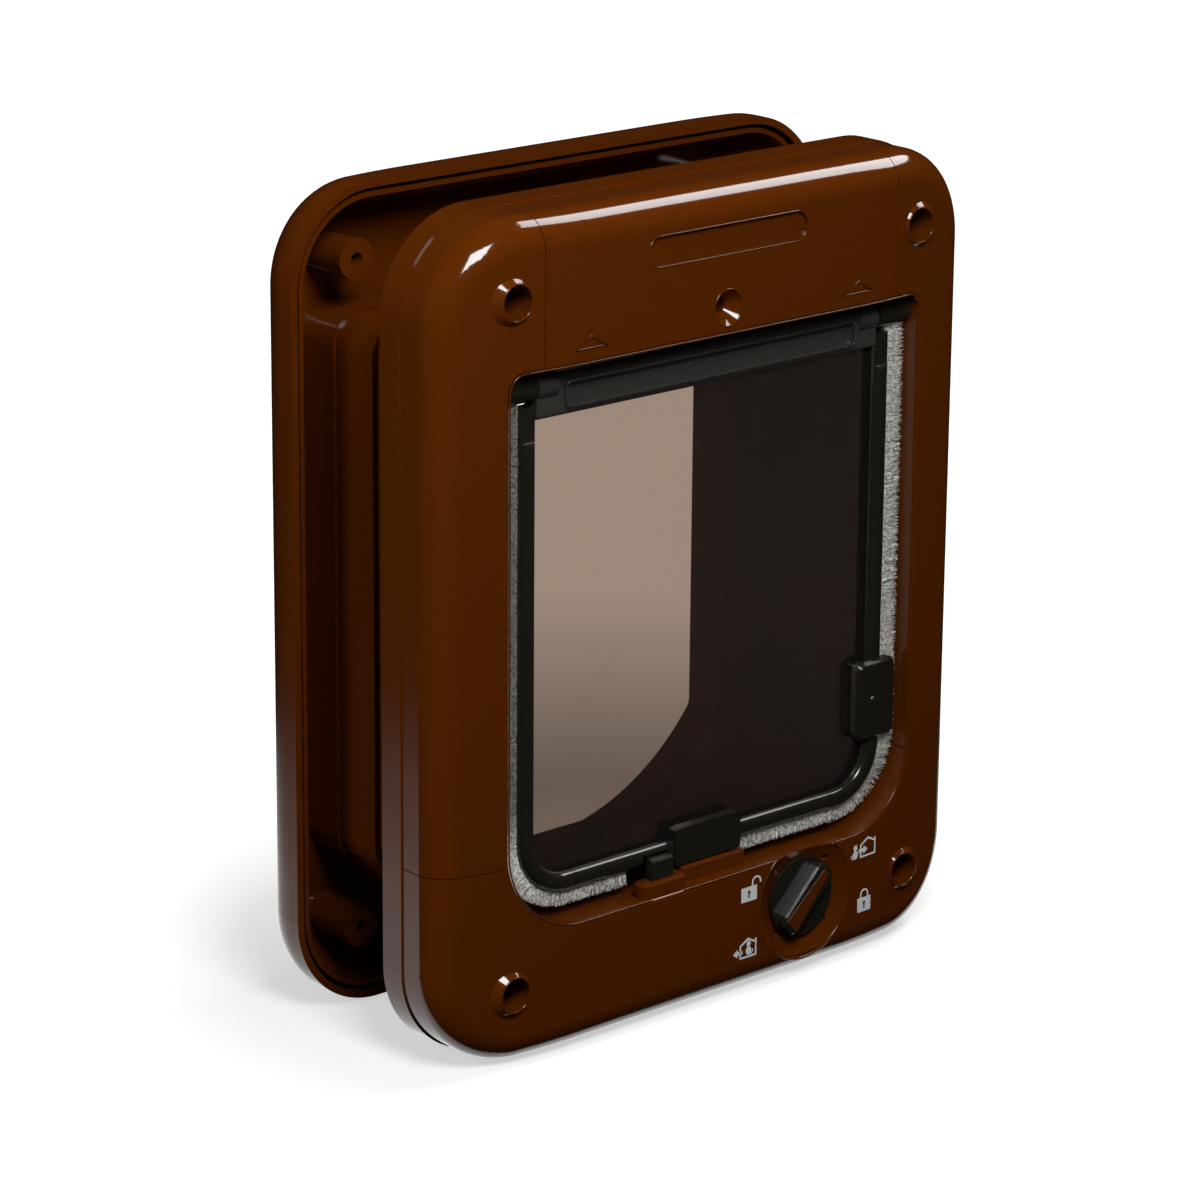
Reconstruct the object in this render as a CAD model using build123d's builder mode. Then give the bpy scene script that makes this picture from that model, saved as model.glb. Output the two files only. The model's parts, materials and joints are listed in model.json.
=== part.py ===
from build123d import *
from math import asin, cos, degrees, radians, sin
import os

# Cat flap for a door. A room-side frame and a street-side frame clamp the door between
# them, and their sleeves slide one inside the other to line the hole. A clear flap hangs
# on two pins, and a four-way knob raises a bolt in front of it, behind it, or both.
# X runs across the door, Y runs from the room to the street and Z runs up. Depths are
# measured from the front face of the room-side frame, and the origin lies under the
# middle of the whole part. Millimetres.

# Frames
frame_width = 198.0
frame_height = 238.0
corner_radius = 28.7
cover_trim = 0.5
cover_depth = 20.7
wall = 2.2
crown_flat = 50.0
crown_radius = 178.0
front_round = 9.0
rear_round = 16.0
inner_bevel = 0.7
seam = 0.3

# Screws that clamp the two frames
screw_side = 24.0
screw_end = 22.0
screw_hole = 2.4
screw_pilot = 1.9
head_bore = 4.7
head_seat = 17.5
ring_radius = 6.5
ring_top_radius = 5.4
ring_face = 0.7
ring_height = 2.2
ring_slope = 42.0

# Way through the frames
side_border = 22.5
sill_height = 37.6
head_border = 41.8
lower_radius = 25.0
upper_radius = 5.0
opening_round = 0.9
return_wall = 2.0
return_depth = 9.1

# Flange, sleeve and the street-side frame that slides on it
flange_depth = 28.6
flange_wall = 2.5
flange_rim = 1.8
boss_radius = 5.5
stiffener = 1.6
stiffener_depth = 27.0
stiffener_across = 40.0
stiffener_rise = 45.0
sleeve_step = 0.3
sleeve_wall = 1.8
sleeve_end = 67.0
slide_gap = 0.4
tunnel_drop = 17.0
tunnel_bow_across = 44.0
tunnel_bow_rise = 28.4
tunnel_bow_radius = 75.0
collar_wall = 1.4
collar_step = 0.8
collar_front = 55.0
collar_step_depth = 71.0
street_rim = 67.0
street_face = 90.0
street_trim = 0.3
lip_start = 84.0
lip_end = 97.0
lip_wall = 2.2
tray_rib_inset = 3.8
tray_rib = 1.4
tray_rib_front = 68.0
post_radius = 5.9
post_front = 68.3
pilot_depth = 14.0

# Covers over the hinge and over the lock
hinge_cover_inset = 11.1
hinge_cover_back = 14.0
badge_length = 59.2
badge_height = 8.6
badge_drop = 15.3
badge_depth = 0.9
centre_screw_rise = 7.3
centre_screw_hole = 1.9
centre_screw_sink = 5.2
centre_boss = 7.5
arrow_across = 49.9
arrow_gap = 4.0
arrow_width = 10.2
arrow_rise = 3.4
arrow_line = 0.7
arrow_depth = 0.5
lower_cover_rise = 21.4

# Flap
hinge_depth = 9.0
hinge_drop = 6.2
pin_radius = 1.5
pin_seat = 6.5
pin_end_gap = 0.5
pin_tip = 0.2
running_fit = 0.05
flap_thickness = 6.8
rim_gap = 7.5
rim_width = 5.3
rim_round = 2.0
rim_rear_bevel = 1.3
rim_drop = 14.0
rim_seam_inset = 20.0
rim_neck = 4.2
pane_thickness = 2.0
pane_bite = 2.8
pane_fit = 0.05
pane_drop = 5.1
bar_inset = 13.0
bar_below = 9.0
bar_above = 3.2
bar_thickness = 5.2
bar_round = 1.2
panel_inset = 9.6
panel_height = 7.0
panel_depth = 0.8
panel_round = 1.4
knuckle_radius = 4.0
knuckle_length = 7.0
lug_gap = 0.6
lug_length = 5.0
lug_radius = 3.7
lug_clear = 0.3
side_pad_inner = 10.3
side_pad_outer = 5.2
side_pad_foot = 18.4
side_pad_rise = 24.0
side_pad_corner = 3.0
side_pad_bevel = 0.9
side_pad_thickness = 8.0

# Draught brush round the flap
brush_gap = 0.7
brush_thickness = 4.0
brush_drop = 5.0
brush_seam = 0.15

# Flap magnet and its keeper
magnet_length = 18.0
magnet_thickness = 3.4
magnet_width = 5.0
magnet_house_half = 12.5
magnet_house_sink = 2.1
magnet_house_rise = 8.9
magnet_house_thickness = 8.2
magnet_house_round = 1.6
magnet_lip = 0.2
keeper_pad_left = -10.4
keeper_pad_right = 13.5
keeper_pad_front = 4.4
keeper_pad_rise = 4.8
keeper_length = 16.0
keeper_width = 3.4
keeper_height = 3.6
keeper_cap = 0.5

# Bolts
bolt_across = -19.5
bolt_width = 8.0
bolt_travel = 5.5
bolt_rise = 10.4
bolt_clear = 0.3
notch_clear = 0.7
notch_rise = 0.6
front_bolt_face = 2.6
front_bolt_thickness = 2.6
rear_bolt_face = 13.2
rear_bolt_thickness = 2.8
arm_height = 2.6
front_arm_face = 8.0
rear_arm_face = 14.0
arm_thickness = 2.0
arm_reach = 6.0
guide_pad_length = 17.0
guide_pad_front = 0.9
guide_pad_back = 6.4
guide_pad_rise = 4.4
guide_pad_corner = 2.0
pad_bevel = 0.8
pad_root = 1.0
slot_depth = 4.0

# Knob, its dish and its cam
knob_across = 34.1
knob_height = 23.4
dish_radius = 18.3
dish_depth = 5.0
dish_boss_depth = 7.2
dimple_circle = 13.4
dimple_radius = 1.1
dimple_depth = 3.1
knob_radius = 12.0
knob_face = 1.4
knob_gap = 0.35
knob_angle = 45.0
grip_length = 22.5
grip_width = 8.0
grip_proud = 1.6
grip_corner = 2.7
grip_bevel = 0.6
pointer_start = -9.6
pointer_end = 9.8
pointer_wide = 5.2
pointer_narrow = 2.4
pointer_pocket = 0.8
pointer_proud = 0.2
shaft_radius = 3.0
shaft_start = 2.0
cam_front = 10.3
cam_thickness = 3.4
cam_hub = 3.4
cam_hub_front = 7.5
cam_nose_reach = 7.45
cam_nose = 1.5
cam_gap = 0.3
cam_screw_head = 3.2
cam_screw_head_depth = 1.5
cam_screw_bevel = 0.6
cam_screw_shank = 1.2
cam_screw_length = 8.0

# Sizes that follow from the ones above
middle_depth = (lip_end - grip_proud - pointer_proud) / 2
opening_half = frame_width / 2 - side_border
lintel_height = frame_height - head_border
lower_cover_top = sill_height + lower_cover_rise
crown_turn = degrees(asin((frame_width / 2 + wall - crown_flat) / crown_radius))
tunnel_half = opening_half + sleeve_step
tunnel_floor = sill_height - tunnel_drop
tunnel_ceiling = lintel_height + 2 * sleeve_step
collar_inner = sleeve_wall + slide_gap
collar_outer = collar_inner + collar_wall
screw_across = frame_width - 2 * screw_side
screw_places = [(x, z) for x in (-screw_across / 2, screw_across / 2)
                for z in (screw_end, frame_height - screw_end)]
hinge_cover_half = opening_half - hinge_cover_inset
badge_centre = frame_height - badge_drop
centre_screw_height = lintel_height + centre_screw_rise
arrow_foot = lintel_height + arrow_gap
hinge_height = lintel_height - hinge_drop
rim_half = opening_half - rim_gap
rim_foot = sill_height + rim_gap
rim_top = hinge_height - rim_drop
rim_seam_across = rim_half - rim_seam_inset
flap_face = hinge_depth - flap_thickness / 2
pane_top = hinge_height - pane_drop
brush_top = hinge_height - brush_drop
bar_half = opening_half - bar_inset
bar_foot = hinge_height - bar_below
bar_head = hinge_height + bar_above
panel_half = bar_half - panel_inset
magnet_house_foot = rim_foot - magnet_house_sink
magnet_house_head = rim_foot + magnet_house_rise
keeper_pad_top = sill_height + keeper_pad_rise
guide_pad_top = sill_height + guide_pad_rise
pad_foot = sill_height - pad_root
slot_foot = sill_height - slot_depth
bolt_top = sill_height + bolt_rise
bolt_clear_width = bolt_width + 2 * bolt_clear
notch_width = bolt_width + 2 * notch_clear
arm_foot = knob_height + cam_hub + cam_gap
dish_sphere = (dish_radius ** 2 + dish_depth ** 2) / (2 * dish_depth)
dish_centre = dish_depth - dish_sphere
cam_back = cam_front + cam_thickness
arm_end = knob_across + arm_reach
guide_pad_left = bolt_across - guide_pad_length / 2
keeper_middle = (keeper_pad_left + keeper_pad_right) / 2
keeper_depth = (keeper_pad_front + return_depth) / 2
keeper_top = keeper_pad_top - keeper_cap
lug_start = bar_half + lug_gap
pin_start = bar_half - pin_seat
pin_length = pin_seat + lug_gap + lug_length - pin_end_gap
grip_plane = Plane(origin=(knob_across, -grip_proud - middle_depth, knob_height),
                   x_dir=(cos(radians(knob_angle)), 0, sin(radians(knob_angle))), z_dir=(0, -1, 0))


def inward(depth):
    """Y of a depth behind the front face."""
    return depth - middle_depth


def door_plane(depth):
    """A plane parallel to the door at a depth, facing the room."""
    return Plane.XZ.offset(-inward(depth))


def on_door(depth, places):
    """Places across the door at a depth, for holes drilled from the room."""
    return [door_plane(depth) * Pos(x, z) for x, z in places]


def frame_outline(inset):
    """Outline of a frame, drawn in by an inset."""
    with Locations((0, frame_height / 2)):
        RectangleRounded(frame_width - 2 * inset, frame_height - 2 * inset, corner_radius - inset)


def corner_outline(half, foot, head, foot_radius, head_radius):
    """A rectangle standing on its foot, with its own radius at the foot and at the head."""
    with Locations((0, (foot + head) / 2)):
        Rectangle(2 * half, head - foot)
    fillet(vertices().group_by(Axis.Y)[0], foot_radius)
    if head_radius > 0:
        fillet(vertices().group_by(Axis.Y)[-1], head_radius)


def opening_outline(margin):
    """Outline of the way through the room-side frame, grown by a margin."""
    corner_outline(opening_half + margin, sill_height - margin, lintel_height + margin,
                   lower_radius + margin, upper_radius + margin)


def tunnel_outline(margin):
    """Outline of the way through the sleeve, with bowed lower corners, grown by a margin."""
    with BuildSketch(mode=Mode.PRIVATE) as way:
        with BuildLine():
            top = Line((0, tunnel_ceiling), (tunnel_half, tunnel_ceiling))
            side = Line(top @ 1, (tunnel_half, tunnel_floor + tunnel_bow_rise))
            bow = RadiusArc(side @ 1, (tunnel_half - tunnel_bow_across, tunnel_floor), tunnel_bow_radius)
            Line(bow @ 1, (0, tunnel_floor))
            mirror(about=Plane.YZ)
        make_face()
        fillet(way.vertices().filter_by(lambda v: abs(v.X) > tunnel_half - 1), upper_radius)
        if margin > 0:
            offset(amount=margin)
    add(way.sketch)


def flap_outline(inset, head):
    """Outline of the flap's rim, drawn in by an inset, up to a height."""
    corner_outline(rim_half - inset, rim_foot + inset, head, lower_radius - rim_gap - inset, 0)


def crowned_form(face_depth, rim_depth, trim, skin, rounding):
    """A frame-sized block with a crowned face and a rounded edge, drawn in by its skin."""
    side = 1 if rim_depth > face_depth else -1
    face = inward(face_depth) + side * skin
    rim = inward(rim_depth)
    near = min(face_depth, rim_depth)
    far = max(face_depth, rim_depth)
    with BuildPart() as form:
        with BuildSketch(Plane.XY):
            with BuildLine():
                flat = Line((0, face), (crown_flat, face))
                fall = JernArc(flat @ 1, flat % 1, crown_radius, side * crown_turn)
                edge = Line(fall @ 1, ((fall @ 1).X, rim))
                Line(edge @ 1, (0, rim))
                mirror(about=Plane.YZ)
            make_face()
        extrude(amount=frame_height)
        with BuildSketch(door_plane(near)):
            frame_outline(trim + skin)
        extrude(amount=near - far, mode=Mode.INTERSECT)
        outside = (form.edges()
                   .filter_by(Axis.Y, reverse=True)
                   .filter_by(lambda e: abs(e.center().Y - rim) > 1)
                   .filter_by(lambda e: abs(e.center().Z - frame_height / 2) > frame_height / 4
                              or abs(e.center().X) > crown_flat + 1))
        if skin == 0:
            fillet(outside, rounding)
        else:
            chamfer(outside, inner_bevel * (rounding - skin))
    return form.part


# Room-side cover, made whole and then parted into its three mouldings
with BuildPart() as cover_hollow:
    add(crowned_form(0, cover_depth, cover_trim, wall, front_round))
    with BuildSketch(door_plane(0)):
        opening_outline(return_wall)
    extrude(amount=-return_depth, mode=Mode.SUBTRACT)
    with BuildSketch(door_plane(0)):
        with Locations(*screw_places):
            Circle(ring_radius)
    extrude(amount=-cover_depth, mode=Mode.SUBTRACT)
    with BuildSketch(door_plane(0)):
        with Locations((0, centre_screw_height)):
            Circle(centre_boss)
    extrude(amount=-return_depth, mode=Mode.SUBTRACT)
    with BuildSketch(door_plane(0)):
        with Locations((knob_across, knob_height)):
            Circle(dish_radius + wall)
    extrude(amount=-dish_boss_depth, mode=Mode.SUBTRACT)

with BuildPart() as cover_blank:
    add(crowned_form(0, cover_depth, cover_trim, 0, front_round))
    with BuildSketch(door_plane(0)):
        opening_outline(0)
    extrude(amount=-cover_depth, mode=Mode.SUBTRACT)
    inside = (cover_blank.edges()
              .filter_by(Axis.Y, reverse=True)
              .filter_by(lambda e: abs(e.center().X) < opening_half + 1)
              .filter_by(lambda e: sill_height - 1 < e.center().Z < lintel_height + 1)
              .filter_by(lambda e: e.center().Y < inward(cover_depth) - 1))
    fillet(inside, opening_round)
    add(cover_hollow.part, mode=Mode.SUBTRACT)
    with BuildSketch(door_plane(ring_face + ring_height)):
        with Locations(*screw_places):
            Circle(ring_radius)
    extrude(amount=ring_face + ring_height - head_seat)
    with BuildSketch(door_plane(ring_face)):
        with Locations(*screw_places):
            Circle(ring_top_radius)
    extrude(amount=-ring_height, taper=-ring_slope)
    with Locations(*on_door(ring_face, screw_places)):
        CounterBoreHole(radius=screw_hole, counter_bore_radius=head_bore,
                        counter_bore_depth=head_seat - ring_face, depth=cover_depth)

with BuildPart() as front_surround:
    add(cover_blank.part)
    split(bisect_by=Plane.XY.offset(lower_cover_top), keep=Keep.TOP)
    with BuildSketch(door_plane(-seam)):
        with Locations((0, (lintel_height + frame_height) / 2)):
            Rectangle(2 * (hinge_cover_half + seam), frame_height - lintel_height + 2 * seam)
    extrude(amount=-(hinge_cover_back + 2 * seam), mode=Mode.SUBTRACT)
front_surround.part.label = "front_surround"
export_step(front_surround.part, "parts/front_surround.step")

with BuildPart() as hinge_cover:
    add(cover_blank.part)
    with BuildSketch(door_plane(0)):
        with Locations((0, (lintel_height + frame_height) / 2)):
            Rectangle(2 * hinge_cover_half, frame_height - lintel_height)
    extrude(amount=-hinge_cover_back, mode=Mode.INTERSECT)
    with Locations(*on_door(0, [(0, centre_screw_height)])):
        CounterSinkHole(radius=centre_screw_hole, counter_sink_radius=centre_screw_sink)
    with BuildSketch(door_plane(0)):
        with Locations((0, badge_centre)):
            SlotOverall(badge_length, badge_height)
    extrude(amount=-badge_depth, mode=Mode.SUBTRACT)
    with BuildSketch(door_plane(0)):
        for middle in (-arrow_across, arrow_across):
            with BuildLine():
                Polyline((middle - arrow_width / 2, arrow_foot), (middle + arrow_width / 2, arrow_foot),
                         (middle, arrow_foot + arrow_rise), close=True)
            trace(line_width=arrow_line)
    extrude(amount=-arrow_depth, mode=Mode.SUBTRACT)
hinge_cover.part.label = "hinge_cover"
export_step(hinge_cover.part, "parts/hinge_cover.step")

with BuildPart() as lower_cover:
    add(cover_blank.part)
    split(bisect_by=Plane.XY.offset(lower_cover_top - seam), keep=Keep.BOTTOM)
    # A pad guides the bolt in front of the flap, and a ledge holds the keeper magnet
    with BuildSketch(Plane.XY.offset(pad_foot)):
        with Locations((bolt_across, inward((guide_pad_front + guide_pad_back) / 2))):
            RectangleRounded(guide_pad_length, guide_pad_back - guide_pad_front, guide_pad_corner)
    extrude(amount=guide_pad_top - pad_foot)
    with BuildSketch(Plane.XY.offset(pad_foot)):
        with Locations((keeper_middle, inward((keeper_pad_front + return_depth) / 2))):
            Rectangle(keeper_pad_right - keeper_pad_left, return_depth - keeper_pad_front)
    extrude(amount=keeper_pad_top - pad_foot)
    chamfer(lower_cover.edges().filter_by(lambda e: abs(e.center().Z - guide_pad_top) < 0.01), pad_bevel)
    chamfer(lower_cover.edges().filter_by(Axis.X)
            .filter_by(lambda e: abs(e.center().Z - keeper_pad_top) < 0.01)
            .sort_by(Axis.Y)[0], pad_bevel)
    with BuildSketch(Plane.XY.offset(slot_foot)):
        with Locations((bolt_across, inward(front_bolt_face + front_bolt_thickness / 2))):
            Rectangle(bolt_clear_width, front_bolt_thickness + 2 * bolt_clear)
    extrude(amount=guide_pad_top, mode=Mode.SUBTRACT)
    with BuildSketch(Plane.XY.offset(keeper_top - keeper_height)):
        with Locations((0, inward(keeper_depth))):
            Rectangle(keeper_length, keeper_width)
    extrude(amount=keeper_height, mode=Mode.SUBTRACT)
    with BuildSketch(Plane.XY.offset(slot_foot)):
        with Locations((0, inward(keeper_depth))):
            Rectangle(keeper_length, keeper_width)
    extrude(amount=slot_depth, mode=Mode.SUBTRACT)
    # The knob sits in a hollow dish with a dimple for each of its four places
    with Locations((knob_across, inward(dish_centre), knob_height)):
        Sphere(dish_sphere, mode=Mode.SUBTRACT)
    with BuildSketch(door_plane(0)):
        with Locations((knob_across, knob_height)):
            Circle(shaft_radius + running_fit)
    extrude(amount=-cover_depth, mode=Mode.SUBTRACT)
    with BuildSketch(door_plane(0)):
        with Locations((knob_across, knob_height)):
            with PolarLocations(dimple_circle, 4, start_angle=knob_angle):
                Circle(dimple_radius)
    extrude(amount=-dimple_depth, mode=Mode.SUBTRACT)
lower_cover.part.label = "lower_cover"
export_step(lower_cover.part, "parts/lower_cover.step")

with BuildPart() as keeper_magnet:
    with BuildSketch(Plane.XY.offset(keeper_top - keeper_height)):
        with Locations((0, inward(keeper_depth))):
            Rectangle(keeper_length, keeper_width)
    extrude(amount=keeper_height)
keeper_magnet.part.label = "keeper_magnet"
export_step(keeper_magnet.part, "parts/keeper_magnet.step")

# Room-side frame behind the covers: flange, stiffeners, screw bosses, sleeve and hinge lugs
with BuildPart() as base_frame:
    with BuildSketch(door_plane(cover_depth)):
        frame_outline(0)
    extrude(amount=cover_depth - flange_depth)
    with BuildSketch(door_plane(cover_depth + flange_wall)):
        frame_outline(flange_rim)
    extrude(amount=cover_depth + flange_wall - flange_depth, mode=Mode.SUBTRACT)
    with BuildSketch(door_plane(cover_depth + flange_wall)):
        with Locations((-stiffener_across, frame_height / 2), (stiffener_across, frame_height / 2)):
            Rectangle(stiffener, frame_height - flange_rim)
        with Locations(*[(0, frame_height / 2 + step * stiffener_rise) for step in (-1, 0, 1)]):
            Rectangle(frame_width - flange_rim, stiffener)
    extrude(amount=cover_depth + flange_wall - stiffener_depth)
    with BuildSketch(door_plane(cover_depth)):
        tunnel_outline(sleeve_wall)
    extrude(amount=cover_depth - sleeve_end)
    with BuildSketch(door_plane(cover_depth + flange_wall)):
        tunnel_outline(0)
    extrude(amount=cover_depth + flange_wall - sleeve_end, mode=Mode.SUBTRACT)
    with BuildSketch(door_plane(return_depth + seam)):
        opening_outline(sleeve_step + sleeve_wall)
    extrude(amount=return_depth + seam - cover_depth)
    with BuildSketch(door_plane(return_depth)):
        opening_outline(sleeve_step)
    extrude(amount=return_depth - cover_depth - flange_wall, mode=Mode.SUBTRACT)
    with BuildSketch(door_plane(cover_depth)):
        with Locations(*screw_places):
            Circle(boss_radius)
    extrude(amount=cover_depth - flange_depth)
    with BuildSketch(door_plane(cover_depth)):
        with Locations(*screw_places):
            Circle(screw_hole)
    extrude(amount=cover_depth - flange_depth, mode=Mode.SUBTRACT)
    for start in (lug_start, -lug_start - lug_length):
        with BuildSketch(Plane.YZ.offset(start)):
            with Locations((inward(hinge_depth), hinge_height)):
                Circle(lug_radius)
            with Locations((inward(hinge_depth), hinge_height)):
                Rectangle(lug_radius, lintel_height - lug_clear - hinge_height,
                          align=(Align.MIN, Align.MIN))
            with Locations((inward(return_depth + seam), lintel_height - lug_clear)):
                Rectangle(hinge_depth + lug_radius - return_depth - seam, sleeve_step + lug_clear
                          + sleeve_wall / 2, align=(Align.MIN, Align.MIN))
        extrude(amount=lug_length)
        with BuildSketch(Plane.YZ.offset(start)):
            with Locations((inward(hinge_depth), hinge_height)):
                Circle(pin_radius + running_fit)
        extrude(amount=lug_length, mode=Mode.SUBTRACT)
    with BuildSketch(Plane.XY.offset(slot_foot)):
        with Locations((bolt_across, inward(rear_bolt_face + rear_bolt_thickness / 2))):
            Rectangle(bolt_clear_width, rear_bolt_thickness + 2 * bolt_clear)
    extrude(amount=slot_depth + return_wall, mode=Mode.SUBTRACT)
base_frame.part.label = "base_frame"
export_step(base_frame.part, "parts/base_frame.step")

# Street-side frame: a tray with a ribbed rim, four screw posts, the collar of the tunnel and
# a lip round its way out
with BuildPart() as tray_hollow:
    add(crowned_form(street_face, street_rim, street_trim, wall, rear_round))
    with BuildSketch(door_plane(tray_rib_front)):
        frame_outline(tray_rib_inset)
        with BuildSketch(mode=Mode.PRIVATE) as rib_inside:
            frame_outline(tray_rib_inset + tray_rib)
        add(rib_inside.sketch, mode=Mode.SUBTRACT)
    extrude(amount=tray_rib_front - street_face, mode=Mode.SUBTRACT)
    with BuildSketch(door_plane(post_front)):
        with Locations(*screw_places):
            Circle(post_radius)
    extrude(amount=post_front - street_face, mode=Mode.SUBTRACT)

with BuildPart() as outer_frame:
    add(crowned_form(street_face, street_rim, street_trim, 0, rear_round))
    add(tray_hollow.part, mode=Mode.SUBTRACT)
    with BuildSketch(door_plane(collar_front)):
        tunnel_outline(collar_outer)
    extrude(amount=collar_front - street_face + wall)
    with BuildSketch(door_plane(collar_step_depth)):
        tunnel_outline(collar_outer + collar_step)
    extrude(amount=collar_step_depth - street_face + wall)
    with BuildSketch(door_plane(collar_front)):
        tunnel_outline(collar_inner)
    extrude(amount=collar_front - street_face + wall, mode=Mode.SUBTRACT)
    with BuildSketch(door_plane(lip_start)):
        tunnel_outline(lip_wall)
    extrude(amount=lip_start - lip_end)
    with BuildSketch(door_plane(collar_front)):
        tunnel_outline(0)
    extrude(amount=collar_front - lip_end, mode=Mode.SUBTRACT)
    with BuildSketch(door_plane(post_front)):
        with Locations(*screw_places):
            Circle(screw_pilot)
    extrude(amount=-pilot_depth, mode=Mode.SUBTRACT)
outer_frame.part.label = "outer_frame"
export_step(outer_frame.part, "parts/outer_frame.step")

# Flap: a clear pane in a hooped rim with a thicker pad on its right side, made whole and then
# parted at its two seams
with BuildPart() as side_pad:
    with BuildSketch(door_plane(hinge_depth - side_pad_thickness / 2)):
        with Locations((rim_half + (side_pad_outer - side_pad_inner) / 2,
                        rim_foot + side_pad_foot + side_pad_rise / 2)):
            RectangleRounded(side_pad_inner + side_pad_outer, side_pad_rise, side_pad_corner)
    extrude(amount=-side_pad_thickness)
    chamfer(side_pad.edges().group_by(Axis.Y)[0] + side_pad.edges().group_by(Axis.Y)[-1], side_pad_bevel)

with BuildPart() as rim_blank:
    with BuildSketch(door_plane(flap_face)):
        flap_outline(0, rim_top)
        with BuildSketch(mode=Mode.PRIVATE) as rim_inside:
            flap_outline(rim_width, rim_top)
        add(rim_inside.sketch, mode=Mode.SUBTRACT)
    extrude(amount=-flap_thickness)
    fillet(rim_blank.edges().group_by(Axis.Y)[0], rim_round)
    chamfer(rim_blank.edges().group_by(Axis.Y)[-1], rim_rear_bevel)
    with BuildSketch(door_plane(hinge_depth - rim_neck / 2)):
        for side in (-1, 1):
            with Locations((side * (rim_half - rim_width / 2), (rim_top + pane_top) / 2 - rim_width / 2)):
                Rectangle(rim_width, pane_top - rim_top + rim_width)
    extrude(amount=-rim_neck)
    with BuildSketch(door_plane(hinge_depth - magnet_house_thickness / 2)):
        corner_outline(magnet_house_half, magnet_house_foot, magnet_house_head, magnet_house_round / 2,
                       magnet_house_round)
    extrude(amount=-magnet_house_thickness)
    with BuildSketch(Plane.XY.offset(magnet_house_foot)):
        with Locations((0, inward(hinge_depth))):
            Rectangle(magnet_length, magnet_width)
    extrude(amount=magnet_lip + magnet_thickness, mode=Mode.SUBTRACT)
    add(side_pad.part)
    with BuildSketch(door_plane(hinge_depth - pane_thickness / 2 - pane_fit)):
        flap_outline(rim_width - pane_bite - pane_fit, pane_top)
    extrude(amount=-pane_thickness - 2 * pane_fit, mode=Mode.SUBTRACT)
    with BuildSketch(door_plane(0)):
        with Locations((bolt_across, rim_foot)):
            Rectangle(notch_width, 2 * (bolt_top + notch_rise - rim_foot))
    extrude(amount=-cover_depth, mode=Mode.SUBTRACT)

with BuildPart() as bottom_rim:
    add(rim_blank.part)
    with BuildSketch(Plane.XY):
        with Locations((0, inward(hinge_depth))):
            Rectangle(2 * rim_seam_across, cover_depth)
    extrude(amount=frame_height, mode=Mode.INTERSECT)
bottom_rim.part.label = "bottom_rim"
export_step(bottom_rim.part, "parts/bottom_rim.step")

for name, side in (("left_rim", -1), ("right_rim", 1)):
    with BuildPart() as side_rim:
        add(rim_blank.part)
        with BuildSketch(Plane.XY):
            with Locations((side * (rim_seam_across + seam + opening_half / 2), inward(hinge_depth))):
                Rectangle(opening_half, cover_depth)
        extrude(amount=frame_height, mode=Mode.INTERSECT)
    side_rim.part.label = name
    export_step(side_rim.part, f"parts/{name}.step")

with BuildPart() as flap_pane:
    with BuildSketch(door_plane(hinge_depth - pane_thickness / 2)):
        flap_outline(rim_width - pane_bite, pane_top)
    extrude(amount=-pane_thickness)
flap_pane.part.label = "flap_pane"
export_step(flap_pane.part, "parts/flap_pane.step")

with BuildPart() as flap_magnet:
    with BuildSketch(Plane.XY.offset(magnet_house_foot + magnet_lip)):
        with Locations((0, inward(hinge_depth))):
            Rectangle(magnet_length, magnet_width)
    extrude(amount=magnet_thickness)
flap_magnet.part.label = "flap_magnet"
export_step(flap_magnet.part, "parts/flap_magnet.step")

# Hinge bar that grips the top of the pane, with a knuckle for a pin at each end
with BuildPart() as hinge_bar:
    with BuildSketch(door_plane(hinge_depth - bar_thickness / 2)):
        with Locations((0, (bar_foot + bar_head) / 2)):
            Rectangle(2 * bar_half, bar_head - bar_foot)
    extrude(amount=-bar_thickness)
    fillet(hinge_bar.edges().filter_by(Axis.X), bar_round)
    for start in (bar_half - knuckle_length, -bar_half):
        with BuildSketch(Plane.YZ.offset(start)):
            with Locations((inward(hinge_depth), hinge_height)):
                Circle(knuckle_radius)
        extrude(amount=knuckle_length)
    with BuildSketch(door_plane(hinge_depth - bar_thickness / 2)):
        with Locations((0, (bar_foot + bar_head) / 2)):
            RectangleRounded(2 * panel_half, panel_height, panel_round)
    extrude(amount=-panel_depth, mode=Mode.SUBTRACT)
    with BuildSketch(door_plane(hinge_depth + bar_thickness / 2)):
        with Locations((0, (bar_foot + bar_head) / 2)):
            RectangleRounded(2 * panel_half, panel_height, panel_round)
    extrude(amount=panel_depth, mode=Mode.SUBTRACT)
    with BuildSketch(door_plane(hinge_depth - pane_thickness / 2 - pane_fit)):
        flap_outline(rim_width - pane_bite - pane_fit, pane_top + pane_fit)
    extrude(amount=-pane_thickness - 2 * pane_fit, mode=Mode.SUBTRACT)
    for start in (pin_start, -bar_half):
        with BuildSketch(Plane.YZ.offset(start)):
            with Locations((inward(hinge_depth), hinge_height)):
                Circle(pin_radius)
        extrude(amount=bar_half - pin_start, mode=Mode.SUBTRACT)
hinge_bar.part.label = "hinge_bar"
export_step(hinge_bar.part, "parts/hinge_bar.step")

for name, start in (("left_hinge_pin", -pin_start - pin_length), ("right_hinge_pin", pin_start)):
    with BuildPart() as hinge_pin:
        with BuildSketch(Plane.YZ.offset(start)):
            with Locations((inward(hinge_depth), hinge_height)):
                Circle(pin_radius)
        extrude(amount=pin_length)
        chamfer(hinge_pin.edges().filter_by(GeomType.CIRCLE), pin_tip)
    hinge_pin.part.label = name
    export_step(hinge_pin.part, f"parts/{name}.step")

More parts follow.
